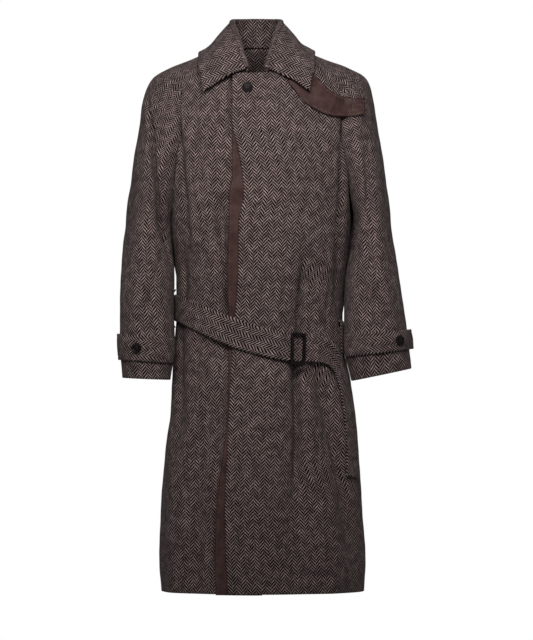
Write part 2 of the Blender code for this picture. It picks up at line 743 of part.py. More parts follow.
def collar_grid(turn, edge, surfaces):
    """Ribs of the collar: up the stand, over the roll and down the fall, clear of what lies below."""
    half = np.linspace(0.0, 1.0, COLLAR_HALF_RIBS)
    shares = np.concatenate([half, half[-2::-1]])
    sides = np.concatenate([np.ones(COLLAR_HALF_RIBS), -np.ones(COLLAR_HALF_RIBS - 1)])
    rolls = np.stack([read(COLLAR, f"roll_{a}", shares, "share") for a in "xyz"], axis=-1)
    tips = np.stack([read(COLLAR, f"edge_{a}", shares, "share") for a in "xyz"], axis=-1)
    rolls[:, 0] *= sides
    tips[:, 0] *= sides
    along_roll = unit(np.gradient(rolls, axis=0))
    ribs = []
    for roll, tip, tangent in zip(rolls, tips, along_roll):
        at = math.degrees(math.atan2(roll[0], -roll[1])) % 360.0
        foot = np.array([np.interp(at, turn, edge[:, a], period=360.0) for a in range(3)])
        roll[0], tip[0] = roll[0] + COLLAR_CENTRE_X, tip[0] + COLLAR_CENTRE_X
        outward = unit((tip - roll) - np.dot(tip - roll, tangent) * tangent)
        outward = unit(outward - np.array([0, 0, 0.8 * outward[2]]))
        outward = unit(outward - np.dot(outward, tangent) * tangent)
        upward = np.cross(outward, tangent)
        upward = upward if upward[2] > 0 else -upward
        level = unit(np.array([outward[0], outward[1], 0.0]))
        foot = foot - level * TWEED / 2 + np.array([0, 0, COLLAR_FOOT_GAP])
        stand_top = roll - outward * COLLAR_FOLD_RADIUS
        rib = [foot, foot * 0.5 + stand_top * 0.5]
        for turn_deg in (180, 135, 90, 45, 0):
            bend = math.radians(turn_deg)
            rib.append(roll + COLLAR_FOLD_RADIUS * (outward * math.cos(bend) + upward * math.sin(bend)))
        top = rib[-1]
        for along in (0.2, 0.4, 0.6, 0.8, 1.0):
            bow = math.sin(math.pi * along) * (np.array([0, 0, 0.003]) + level * 0.001)
            rib.append(clear_of(surfaces, top + (tip - top) * along + bow, COLLAR_GAP))
        ribs.append(rib)
    return np.array(ribs)


def clear_of(tree, point, gap):
    """A point moved out until it stands a gap off the panels below it."""
    nearest, normal, _, _ = tree.find_nearest(Vector(point))
    stand = (Vector(point) - nearest).dot(normal)
    if stand < gap:
        return np.array(Vector(point) + normal * (gap - stand))
    return np.array(point)


def sheet_normals(points):
    """Normals of a grid of points, by differences along its rows and columns."""
    return unit(np.cross(np.gradient(points, axis=1), np.gradient(points, axis=0)))


def main():
    for found in list(bpy.data.objects):
        bpy.data.objects.remove(found)
    bpy.context.scene.collection.children.link(bpy.data.collections.new("balmacaan_coat"))
    tweed = material("herringbone_tweed", (0.055, 0.042, 0.040), 0.95)
    leather = material("brown_leather", (0.060, 0.038, 0.036), 0.55)
    horn = material("dark_horn", (0.012, 0.011, 0.011), 0.35)

    # Fronts, back and raglan sleeves, each sleeve a front and a back half
    steps = (0.5, 0.002)

    def under_front(angle, z):
        return body(angle, z, extra=RECESS_FOLDS)

    angles, heights = front_grid(1, lambda z: read(FLY_EDGE, "outer", z))
    front_left = wall_points(outer_front, angles, heights, *steps, TWEED)
    angles, heights = front_grid(-1, lambda z: UNDERLAP_X)
    front_right = wall_points(under_front, angles[:, ::-1], heights[:, ::-1], *steps, TWEED)
    back = wall_points(body, *back_grid(), *steps, TWEED)
    crests = {}
    for side, name, folds in ((1, "left", LEFT_SLEEVE_FOLDS), (-1, "right", RIGHT_SLEEVE_FOLDS)):
        for half, start in (("front", 0.0), ("back", 0.5)):
            sleeve = sleeve_wall(side, folds, start + SHARE_GAP, start + 0.5 - SHARE_GAP)
            if half == "front":
                share_seam(front_left if side > 0 else front_right, -1 if side > 0 else 0, sleeve, 0)
            else:
                share_seam(back, 0 if side > 0 else -1, sleeve, -1)
            wall(f"sleeve_{name}_{half}", *sleeve, tweed)
            crests[name, half] = sleeve[0] if side < 0 else sleeve[0][:, ::-1]
    wall("front_left", *front_left, tweed)
    wall("front_right", *front_right, tweed)
    wall("back", *back, tweed)
    left_outer, right_outer, back_outer = front_left[0], front_right[0], back[0]

    # Fly placket between the fronts
    z = np.concatenate([SKIRT_ROWS, np.linspace(UNDERARM_Z, PLACKET_TOP_Z, 7)[1:]])
    z[0] -= PLACKET_DROP
    share = np.linspace(0.0, 1.0, 5)
    start = ring_angle(read(FLY_EDGE, "placket", z), z)
    end = ring_angle(PLACKET_INNER_X + 0.0 * z, z)
    angles = start[:, None] + (end - start)[:, None] * share
    heights = np.repeat(z[:, None], len(share), axis=1)

    def placket(angle, z):
        return body(angle, z, out=PLACKET_FACE)

    wall("fly_placket", *wall_points(placket, angles, heights, *steps, LEATHER), leather)

    # Shoulder strap over the left front and sleeve
    tree = surface_tree(left_outer, right_outer, back_outer, *crests.values())
    strap = np.empty((15, 5, 3))
    for i, place in enumerate(np.linspace(0.0, SHOULDER_STRAP["step"][-1], len(strap))):
        upper, lower = (
            np.array([float(read(SHOULDER_STRAP, f"{edge}_{a}", place, "step")) for a in "xz"])
            for edge in ("upper", "lower")
        )
        for j, across in enumerate(np.linspace(0.0, 1.0, 5)):
            x, z = lower + (upper - lower) * across
            strap[i, j] = x, front_hits(tree, x, z, SHOULDER_REACH), z
    strap_normals = sheet_normals(strap)
    strap_normals *= np.sign(-strap_normals[..., 1:2])
    strap_inner = strap + strap_normals * SHOULDER_GAP
    strap_outer = strap_inner + strap_normals * LEATHER
    wall("shoulder_strap", strap_outer, strap_inner, leather)

    # Collar
    panels = [left_outer, right_outer, back_outer]
    turn, edge = neckline([g[-1] for g in panels] + [g[0] for g in crests.values()])
    strap_face = strap_outer[:, ::-1]
    tree = surface_tree(*panels, strap_face, *crests.values())
    ribs = collar_grid(turn, edge, tree)
    half = sheet_normals(ribs) * COLLAR_CLOTH / 2
    wall("collar", ribs + half, ribs - half, tweed)

    # Belt in one strip, its free end over the first lap and hanging at the side
    lap = [belt_path(BELT, 76), belt_path(BELT_END, 24)]
    angle, z, layer = (np.concatenate([lap[0][i][:-1], lap[1][i]]) for i in range(3))
    wall("belt", *belt_strip(angle, z, layer, BELT_WIDTH, DOUBLE_TWEED), tweed)

    # Buckle on the second lap, laid square to the belt's face
    angle = float(ring_angle(BUCKLE_X, BUCKLE_Z))
    angles = angle + np.array([-5.0, 5.0, 0.0, 0.0])
    heights = BUCKLE_Z + np.array([0.0, 0.0, -0.026, 0.026])
    stack = BELT_GAP + 2 * (DOUBLE_TWEED + LYING_GAP) + belt_base(ring(angles, heights)[:, 0], angles)
    near = body(angles, heights, out=stack + BUCKLE_BAR / 2 + BUCKLE_STAND, folds=None)
    across, up = unit(near[1] - near[0]), unit(near[3] - near[2])
    facing = unit(np.cross(up, across))
    buckle = rounded_frame("buckle", BUCKLE_WIDTH, BUCKLE_HEIGHT, BUCKLE_BAR, leather)
    turned = Matrix((across, facing, np.cross(across, facing))).transposed()
    buckle.rotation_euler = (turned @ Matrix.Rotation(math.radians(BUCKLE_TILT), 3, "Y")).to_euler()
    buckle.location = near.mean(axis=0)

    # Belt loops at the sides
    loops = (("left", LOOP_LEFT_ANGLE, LOOP_LEFT_Z), ("right", LOOP_RIGHT_ANGLE, LOOP_RIGHT_Z))
    for name, centre, middle in loops:
        along = np.linspace(-0.5, 0.5, 15)
        spread = math.degrees(LOOP_WIDTH / SIDE_RADIUS) * np.linspace(-0.5, 0.5, 3)
        bridge = (DOUBLE_TWEED + LYING_GAP) * ease((0.5 - np.abs(along)) / 0.11)
        angle, z = np.meshgrid(centre + spread, middle + LOOP_HEIGHT * along)
        out = BELT_GAP + np.repeat(bridge[:, None], 3, axis=1)
        inner = body(angle, z, out=out, folds=None)
        wall(f"belt_loop_{name}", body(angle, z, out=out + LEATHER, folds=None), inner, tweed)

    # Cuff straps round the sleeves, their pointed ends standing off
    straps = (
        (1, "left", LEFT_STRAP_ROW, LEFT_STRAP_END, LEFT_STRAP_BOW, LEFT_BUTTON_COLUMN),
        (-1, "right", RIGHT_STRAP_ROW, RIGHT_STRAP_END, RIGHT_STRAP_BOW, RIGHT_BUTTON_COLUMN),
    )
    for side, name, row, end, bow, column in straps:
        outer, inner = cuff_strap(side, row, end, bow)
        wall(f"cuff_strap_{name}", outer, inner, tweed)
        facing = unit(outer[2, column] - inner[2, column])
        rest = outer[2, column] + facing * BUTTON_GAP
        button(f"button_cuff_{name}", rest, facing, BUTTON_RADIUS, BUTTON_THICK, horn)

    # Front buttons
    x, z = TOP_BUTTON
    angle = ring_angle(np.array(x), np.array(z))
    facing = normals(outer_front, angle, np.array(z), *steps)
    rest = outer_front(angle, z) + facing * BUTTON_GAP
    button("button_top", rest, facing, BUTTON_RADIUS, BUTTON_THICK, horn)
    for number, (x, z) in enumerate(FLY_BUTTONS, 1):
        angle = ring_angle(np.array(x), np.array(z))
        facing = normals(placket, angle, np.array(z), *steps)
        rest = placket(angle, z) + facing * BUTTON_GAP
        button(f"button_fly_{number}", rest, facing, FLY_BUTTON_RADIUS, FLY_BUTTON_THICK, horn)


main()
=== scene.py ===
"""Dress of a belted balmacaan coat: tweed, leather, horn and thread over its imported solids.

Metres, +Z up. The front faces -Y and the wearer's left side lies towards +X.
"""

import logging
import math
from collections.abc import Callable, Sequence
from dataclasses import dataclass, field
from enum import Enum

import bpy
import numpy as np
from mathutils import Matrix, Vector
from mathutils.bvhtree import BVHTree


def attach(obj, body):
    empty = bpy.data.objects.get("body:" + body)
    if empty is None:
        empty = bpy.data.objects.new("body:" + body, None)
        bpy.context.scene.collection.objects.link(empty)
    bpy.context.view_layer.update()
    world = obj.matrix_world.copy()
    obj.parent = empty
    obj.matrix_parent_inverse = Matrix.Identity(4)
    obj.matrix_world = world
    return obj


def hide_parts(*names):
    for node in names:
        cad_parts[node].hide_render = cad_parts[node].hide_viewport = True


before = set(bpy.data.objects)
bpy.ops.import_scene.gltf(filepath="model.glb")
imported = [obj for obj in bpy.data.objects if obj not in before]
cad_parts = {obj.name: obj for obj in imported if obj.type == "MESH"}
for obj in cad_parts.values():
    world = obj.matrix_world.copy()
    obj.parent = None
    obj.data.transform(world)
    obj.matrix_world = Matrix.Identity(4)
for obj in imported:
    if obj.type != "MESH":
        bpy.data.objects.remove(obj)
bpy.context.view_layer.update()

log = logging.getLogger("balmacaan")
Array = np.ndarray
Surface = Callable[[Array, Array], Array]


class Side(Enum):
    """The wearer's two sides, as the sign of x."""

    LEFT = 1
    RIGHT = -1

    @property
    def label(self) -> str:
        """The side's name as the nodes carry it."""
        return self.name.lower()


class Held(Enum):
    """How a piece of cloth is held."""

    HUNG = "hung"
    LAID = "laid"
    FOLDED = "folded"


def cubic(start: Array, end: Array, leave: Array, arrive: Array, t: Array) -> Array:
    """A curve from start to end that leaves and arrives with the slopes given, at shares t."""
    return (
        start * (1 + 2 * t) * (1 - t) ** 2
        + leave * t * (1 - t) ** 2
        + end * t**2 * (3 - 2 * t)
        + arrive * t**2 * (t - 1)
    )


class Table:
    """A short table with named columns, read between its rows by a monotone cubic."""

    def __init__(self, columns: str, *rows: Sequence[float]) -> None:
        """Keeps each column as an array; the first one is the key.

        Args:
            columns: the columns' names, apart by spaces.
            *rows: the table's rows.
        """
        names = columns.split()
        self.key = names[0]
        self.columns = {n: np.array(v, float) for n, v in zip(names, zip(*rows))}

    def __getitem__(self, name: str) -> Array:
        """A whole column."""
        return self.columns[name]

    def read(self, column: str, value: Array | float) -> Array:
        """Reads a column at any value of the key.

        Args:
            column: the column's name.
            value: values of the key, held to the table's range.

        Returns:
            The column's values there.
        """
        order = np.argsort(self[self.key])
        x, y = self[self.key][order], self[column][order]
        step = np.diff(x)
        slope = np.diff(y) / step
        tangent = np.empty_like(y)
        tangent[0], tangent[-1] = slope[0], slope[-1]
        both = slope[:-1] + slope[1:]
        mean = 2.0 * slope[:-1] * slope[1:] / np.where(both == 0, 1.0, both)
        tangent[1:-1] = np.where(slope[:-1] * slope[1:] > 0, mean, 0.0)
        value = np.clip(value, x[0], x[-1])
        i = np.clip(np.searchsorted(x, value) - 1, 0, len(step) - 1)
        t = (value - x[i]) / step[i]
        return cubic(y[i], y[i + 1], step[i] * tangent[i], step[i] * tangent[i + 1], t)


# Level sections of the body: half widths to the right and left, depths, squareness
BODY = Table(
    "z right left front back square",
    (0.060, 0.105, 0.105, 0.032, 0.059, 2.0),
    (0.030, 0.135, 0.135, 0.054, 0.075, 2.0),
    (0.000, 0.172, 0.175, 0.082, 0.095, 2.3),
    (-0.040, 0.192, 0.197, 0.105, 0.113, 2.5),
    (-0.100, 0.188, 0.197, 0.124, 0.127, 2.6),
    (-0.180, 0.181, 0.192, 0.137, 0.133, 2.6),
    (-0.300, 0.174, 0.186, 0.139, 0.127, 2.5),
    (-0.400, 0.164, 0.175, 0.130, 0.113, 2.4),
    (-0.480, 0.163, 0.169, 0.122, 0.104, 2.3),
    (-0.550, 0.168, 0.171, 0.121, 0.106, 2.3),
    (-0.620, 0.173, 0.187, 0.133, 0.122, 2.3),
    (-0.680, 0.177, 0.198, 0.144, 0.136, 2.3),
    (-0.740, 0.186, 0.204, 0.153, 0.146, 2.3),
    (-0.880, 0.197, 0.212, 0.171, 0.167, 2.3),
    (-0.980, 0.200, 0.218, 0.181, 0.179, 2.3),
    (-1.036, 0.195, 0.214, 0.185, 0.184, 2.3),
)
# x of the outer front's edge and of the placket's free edge
FLY_EDGE = Table(
    "z outer placket",
    (0.010, -0.049, -0.046),
    (-0.108, -0.049, -0.050),
    (-0.150, -0.039, -0.0504),
    (-0.210, -0.0285, -0.0506),
    (-0.246, -0.0264, -0.0555),
    (-0.306, -0.036, -0.0575),
    (-0.400, -0.037, -0.0596),
    (-0.480, -0.0426, -0.0584),
    (-0.560, -0.049, -0.0575),
    (-0.680, -0.0545, -0.0600),
    (-0.774, -0.0588, -0.0696),
    (-0.864, -0.0622, -0.0805),
    (-0.950, -0.0608, -0.0838),
    (-1.040, -0.0556, -0.0824),
)
# Raglan seams, with the crest of each sleeve, its depth, its rise at the back and its arch
RAGLAN = Table(
    "z right left right_crest_x right_crest_z left_crest_x left_crest_z depth back_rise arch",
    (0.030, 0.071, 0.070, 0.079, 0.047, 0.077, 0.047, 0.000, 0.012, 2.0),
    (0.010, 0.123, 0.128, 0.131, 0.023, 0.133, 0.023, 0.000, 0.009, 2.0),
    (-0.018, 0.147, 0.154, 0.177, 0.005, 0.182, 0.005, 0.000, 0.006, 1.7),
    (-0.055, 0.153, 0.166, 0.2145, -0.019, 0.2210, -0.020, 0.078, 0.003, 1.3),
    (-0.104, 0.158, 0.173, 0.2362, -0.078, 0.2400, -0.078, 0.086, 0.000, 1.0),
    (-0.180, 0.164, 0.178, 0.2505, -0.178, 0.2522, -0.172, 0.095, 0.000, 1.0),
    (-0.250, 0.1695, 0.182, 0.2570, -0.250, 0.2590, -0.250, 0.099, 0.000, 1.0),
    (-0.300, 0.174, 0.186, 0.2635, -0.303, 0.2655, -0.306, 0.099, 0.000, 1.0),
)
# The arms below the underarm: inner and outer lines, depth and its middle
ARM = Table(
    "step right_in right_in_z right_out right_out_z left_in left_in_z left_out left_out_z depth middle",
    (0.0, 0.1745, -0.300, 0.2635, -0.303, 0.1865, -0.300, 0.2655, -0.306, 0.099, 0.004),
    (1.0, 0.1705, -0.352, 0.2712, -0.350, 0.1820, -0.358, 0.2755, -0.362, 0.096, -0.004),
    (2.0, 0.1667, -0.412, 0.2750, -0.413, 0.1735, -0.420, 0.2845, -0.420, 0.088, -0.021),
    (3.0, 0.1677, -0.470, 0.2762, -0.466, 0.1718, -0.482, 0.2925, -0.476, 0.079, -0.039),
    (4.0, 0.1655, -0.540, 0.2765, -0.530, 0.1720, -0.548, 0.2998, -0.536, 0.069, -0.054),
    (5.0, 0.1735, -0.615, 0.2710, -0.611, 0.1865, -0.617, 0.3065, -0.592, 0.058, -0.064),
)
# Angles in degrees; a negative depth is a ridge
FOLD_COLUMNS = "top_angle bottom_angle top_z bottom_z half_width depth"
BODY_FOLDS = Table(
    FOLD_COLUMNS,
    (27.0, 25.0, -0.340, -0.600, 4.0, 0.007),
    (23.0, 15.0, -0.500, -0.980, 5.0, 0.011),
    (31.0, 62.0, -0.560, -1.020, 8.0, 0.012),
    (46.0, 38.0, -0.640, -1.160, 9.0, -0.007),
    (4.0, 0.0, -0.640, -1.160, 9.0, -0.004),
    (-74.0, -52.0, -0.440, -0.820, 7.0, 0.009),
    (-33.0, -36.0, -0.570, -1.120, 8.0, 0.011),
    (-54.0, -58.0, -0.640, -1.160, 9.0, -0.007),
    (90.0, 94.0, -0.580, -1.120, 8.0, 0.010),
    (116.0, 118.0, -0.620, -1.160, 9.0, -0.008),
    (141.0, 137.0, -0.560, -1.160, 8.0, 0.014),
    (162.0, 160.0, -0.620, -1.160, 9.0, -0.008),
    (183.0, 179.0, -0.560, -1.160, 8.0, 0.013),
    (204.0, 200.0, -0.620, -1.160, 9.0, -0.008),
    (221.0, 226.0, -0.560, -1.160, 8.0, 0.014),
    (246.0, 248.0, -0.620, -1.160, 9.0, -0.008),
    (268.0, 266.0, -0.580, -1.120, 8.0, 0.010),
    (150.0, 158.0, -0.130, -0.520, 8.0, 0.008),
    (211.0, 203.0, -0.150, -0.520, 8.0, 0.008),
    (62.0, 66.0, -0.230, -0.500, 7.0, 0.007),
    (-58.0, -64.0, -0.200, -0.500, 7.0, 0.007),
)
# Folds of the under front, which falls back beside the placket
RECESS_FOLDS = Table(
    FOLD_COLUMNS,
    (-23.0, -17.5, -0.210, -0.570, 3.8, 0.018),
    (-20.0, -25.0, -0.520, -1.060, 3.2, 0.012),
    (-15.0, -15.0, -0.235, -0.345, 7.0, 0.008),
    (-11.6, -11.6, 0.030, -0.160, 1.3, 0.009),
)
# Creases that only the dressed cloth has: by the buckle, beside the raglan seams, at the waist and hips,
# with ridges behind the side seams
BODY_CREASES = Table(
    FOLD_COLUMNS,
    (27.0, 26.0, -0.370, -0.580, 1.9, 0.018),
    (22.5, 18.0, -0.530, -0.860, 2.1, 0.020),
    (34.0, 57.0, -0.540, -0.890, 4.0, 0.016),
    (-57.0, -52.0, -0.030, -0.400, 4.5, 0.011),
    (58.0, 61.0, 0.000, -0.400, 4.5, 0.014),
    (104.0, 104.0, -0.200, -0.495, 9.0, -0.010),
    (104.0, 104.0, -0.400, -0.505, 9.0, -0.004),
    (256.0, 256.0, -0.200, -0.435, 9.0, -0.010),
    (40.0, 46.0, -0.560, -0.700, 2.6, 0.003),
    (12.0, 8.0, -0.420, -0.600, 2.4, 0.002),
    (-44.0, -41.0, -0.430, -0.640, 2.6, 0.003),
    (-66.0, -60.0, -0.360, -0.560, 2.6, 0.003),
    (55.0, 50.0, -0.400, -0.570, 2.8, 0.003),
    (128.0, 132.0, -0.400, -0.620, 3.0, 0.004),
    (168.0, 170.0, -0.400, -0.640, 3.0, 0.004),
    (195.0, 192.0, -0.400, -0.640, 3.0, 0.004),
    (236.0, 232.0, -0.400, -0.620, 3.0, 0.004),
    (35.0, 28.0, -0.060, -0.260, 5.0, 0.003),
    (-38.0, -33.0, -0.070, -0.270, 5.0, 0.003),
)
RIGHT_SLEEVE_FOLDS = Table(
    FOLD_COLUMNS,
    (140.0, 20.0, -0.040, -0.400, 15.0, 0.011),
    (100.0, 60.0, -0.360, -0.600, 16.0, 0.006),
    (236.0, 300.0, -0.150, -0.480, 18.0, 0.008),
    (70.0, 110.0, -0.300, -0.430, 7.0, 0.004),
    (50.0, 96.0, -0.350, -0.500, 7.0, 0.004),
    (120.0, 150.0, -0.240, -0.420, 9.0, 0.003),
    (165.0, 0.0, -0.030, -0.440, 4.5, 0.020),
)
LEFT_SLEEVE_FOLDS = Table(
    FOLD_COLUMNS,
    (128.0, 70.0, -0.070, -0.460, 15.0, 0.008),
    (60.0, 104.0, -0.380, -0.610, 16.0, 0.006),
    (232.0, 296.0, -0.150, -0.480, 18.0, 0.008),
    (60.0, 104.0, -0.290, -0.430, 7.0, 0.004),
    (50.0, 90.0, -0.360, -0.510, 7.0, 0.004),
    (120.0, 146.0, -0.250, -0.430, 9.0, 0.003),
    (26.0, 16.0, -0.020, -0.440, 12.0, 0.013),
    (112.0, 62.0, -0.120, -0.400, 5.0, 0.004),
)
# The belt's middle line round the waist, then its free end; layer 1 lies on the first lap
BELT = Table(
    "step angle z layer",
    (0.0, 16.0, -0.5520, 0.0),
    (1.0, 40.0, -0.5480, 0.0),
    (2.0, 70.0, -0.5380, 0.0),
    (3.0, 100.0, -0.5250, 0.0),
    (4.0, 180.0, -0.4950, 0.0),
    (5.0, 250.0, -0.4720, 0.0),
    (6.0, 285.0, -0.4740, 0.0),
    (7.0, 310.0, -0.4870, 0.0),
    (8.0, 340.0, -0.5140, 0.0),
    (9.0, 356.0, -0.5330, 0.0),
    (10.0, 370.0, -0.5470, 1.0),
    (11.0, 380.0, -0.5525, 1.0),
    (12.0, 390.0, -0.5535, 1.0),
)
BELT_END = Table(
    "step angle z layer",
    (0.0, 390.0, -0.5535, 1.0),
    (1.0, 399.0, -0.5540, 1.0),
    (2.0, 409.0, -0.5610, 1.0),
    (3.0, 417.5, -0.5800, 1.0),
    (4.0, 421.5, -0.6080, 0.85),
    (5.0, 423.0, -0.6400, 0.4),
    (6.0, 423.5, -0.7000, 0.1),
    (7.0, 423.0, -0.7600, 0.0),
    (8.0, 421.5, -0.8080, 0.0),
)
# Edges of the leather strap, from under the collar outwards
SHOULDER_STRAP = Table(
    "step upper_x upper_z lower_x lower_z",
    (0.0, 0.1020, 0.0020, 0.0600, -0.0240),
    (1.0, 0.1120, -0.0120, 0.0740, -0.0430),
    (2.0, 0.1240, -0.0260, 0.0930, -0.0660),
    (3.0, 0.1430, -0.0430, 0.1200, -0.0830),
    (4.0, 0.1660, -0.0540, 0.1530, -0.0930),
    (5.0, 0.1900, -0.0578, 0.1870, -0.0926),
    (6.0, 0.2105, -0.0566, 0.2110, -0.0872),
)
# Roll line and outer edge of half the collar, from its point to the centre back
COLLAR = Table(
    "share roll_x roll_y roll_z edge_x edge_y edge_z",
    (0.00, 0.0190, -0.0960, 0.0030, 0.1050, -0.1120, -0.0440),
    (0.12, 0.0280, -0.0860, 0.0300, 0.1090, -0.1040, -0.0160),
    (0.28, 0.0380, -0.0620, 0.0640, 0.1150, -0.0760, 0.0090),
    (0.48, 0.0490, -0.0080, 0.0950, 0.1100, -0.0060, 0.0240),
    (0.68, 0.0450, 0.0380, 0.1000, 0.0960, 0.0540, 0.0250),
    (0.86, 0.0230, 0.0620, 0.1010, 0.0520, 0.0940, 0.0270),
    (1.00, 0.0000, 0.0670, 0.1015, 0.0000, 0.1040, 0.0240),
)
# Share of a fold's length over which it fades at each end
FOLD_FADE = 0.3
# Slow waves of the cloth, which never line up: radians to the metre along each axis, and where each starts
DRIFT_WAVES = Table(
    "x y z start",
    (61.0, 0.0, 23.0, 1.3),
    (0.0, -31.0, 37.0, 0.4),
    (97.0, 43.0, -71.0, 0.0),
    (0.0, 53.0, 88.0, 2.1),
)
# Steps over which a front surface's direction is read, in degrees and metres
PROBE_TURN, PROBE_RISE = 0.5, 0.002


def ease(t: Array) -> Array:
    """A smooth step from 0 to 1."""
    t = np.clip(t, 0.0, 1.0)
    return t * t * (3 - 2 * t)


def unit(v: Array) -> Array:
    """Vectors at length 1."""
    return v / np.maximum(np.linalg.norm(v, axis=-1, keepdims=True), 1e-12)


def hump(offset: Array, half_width: float) -> Array:
    """A rounded rise: 1 where the offset is 0, fading out beyond the half width."""
    return np.exp(-((offset / half_width) ** 2))


def fold_depth(folds: Table, angle: Array, z: Array) -> Array:
    """How far folds push the cloth inwards.

    Args:
        folds: a table of folds.
        angle: angles in degrees.
        z: heights.

    Returns:
        The depth at each place; a ridge is negative.
    """
    total = np.zeros(np.broadcast(angle, z).shape)
    for top_a, bottom_a, top, bottom, width, depth in zip(*folds.columns.values()):
        along = (z - top) / (bottom - top)
        centre = top_a + (bottom_a - top_a) * along
        across = (angle - centre + 180.0) % 360.0 - 180.0
        fade = ease(along / FOLD_FADE) * ease((1 - along) / FOLD_FADE)
        total = total + depth * fade * hump(across, width)
    return total


def grid_normals(points: Array) -> Array:
    """Unit normals of a grid of points, by differences along its rows and columns."""
    return unit(np.cross(np.gradient(points, axis=1), np.gradient(points, axis=0)))


def front_normals(points: Array) -> Array:
    """Unit normals of a grid, turned to the front."""
    facing = grid_normals(points)
    return facing * np.sign(-facing[..., 1:2])


def run_length(points: Array, axis: int) -> Array:
    """Length along each row or column of a grid, from its first point."""
    steps = np.linalg.norm(np.diff(points, axis=axis), axis=-1)
    first = np.zeros_like(np.take(steps, [0], axis=axis))
    return np.cumsum(np.concatenate([first, steps], axis=axis), axis=axis)


def refine(points: Array, count: int) -> Array:
    """Resamples the first axis of a grid by a smooth curve through its points.

    Args:
        points: the coarse points.
        count: how many points the first axis gets.

    Returns:
        The finer points.
    """
    at = np.linspace(0.0, len(points) - 1.0, count)
    i = np.clip(at.astype(int), 0, len(points) - 2)
    t = (at - i).reshape((-1,) + (1,) * (points.ndim - 1))
    tangent = np.gradient(points, axis=0)
    return cubic(points[i], points[i + 1], tangent[i], tangent[i + 1], t)


def refine_grid(points: Array, rows: int, columns: int) -> Array:
    """Resamples both axes of a coarse grid."""
    return refine(refine(points, rows).swapaxes(0, 1), columns).swapaxes(0, 1)


def gathered(count: int, ends: float = 0.35) -> Array:
    """Shares from 0 to 1 that lie closer together near both ends."""
    t = np.linspace(0.0, 1.0, count)
    return (1 - ends) * t + ends * (0.5 - 0.5 * np.cos(np.pi * t))


def grid_quads(index: Array) -> Array:
    """The four corners of each cell of a grid of point numbers."""
    corners = [index[:-1, :-1], index[:-1, 1:], index[1:, 1:], index[1:, :-1]]
    return np.stack(corners, axis=-1).reshape(-1, 4)


def tree_of(grids: Sequence[Array]) -> BVHTree:
    """A search tree over grids of points."""
    points: list[Array] = []
    faces: list[tuple[int, ...]] = []
    first = 0
    for grid in grids:
        rows, columns = grid.shape[:2]
        index = first + np.arange(rows * columns).reshape(rows, columns)
        points.append(grid.reshape(-1, 3))
        faces.extend(map(tuple, grid_quads(index).tolist()))
        first += rows * columns
    return BVHTree.FromPolygons(np.concatenate(points).tolist(), faces)


# Finishes


def linear(hex_colour: str) -> tuple[float, float, float, float]:
    """An sRGB hex colour as linear RGBA."""
    parts = [int(hex_colour[i : i + 2], 16) / 255 for i in (1, 3, 5)]
    return (*(p / 12.92 if p <= 0.04045 else ((p + 0.055) / 1.055) ** 2.4 for p in parts), 1.0)


def add_node(
    tree: bpy.types.NodeTree, kind: str, fill: dict | None = None, **settings: object
) -> bpy.types.Node:
    """Adds a node to a tree.

    Args:
        tree: the material's node tree.
        kind: the node's type without its prefix.
        fill: values or sockets for its inputs, by name or number.
        **settings: the node's own fields.

    Returns:
        The node.
    """
    node = tree.nodes.new("ShaderNode" + kind)
    for name, value in settings.items():
        setattr(node, name, value)
    for key, value in (fill or {}).items():
        if isinstance(value, bpy.types.NodeSocket):
            tree.links.new(value, node.inputs[key])
        else:
            node.inputs[key].default_value = value
    return node


def new_tree(name: str, **sockets: object) -> tuple[bpy.types.Material, bpy.types.NodeTree, bpy.types.Node]:
    """Starts a material.

    Args:
        name: the material's name.
        **sockets: constant values of its shader, with _ for a space in each name.

    Returns:
        The material, its tree and its shader node.
    """
    made = bpy.data.materials.new(name)
    made.use_nodes = True
    shader = made.node_tree.nodes["Principled BSDF"]
    for key, value in sockets.items():
        shader.inputs[key.replace("_", " ")].default_value = value
    return made, made.node_tree, shader


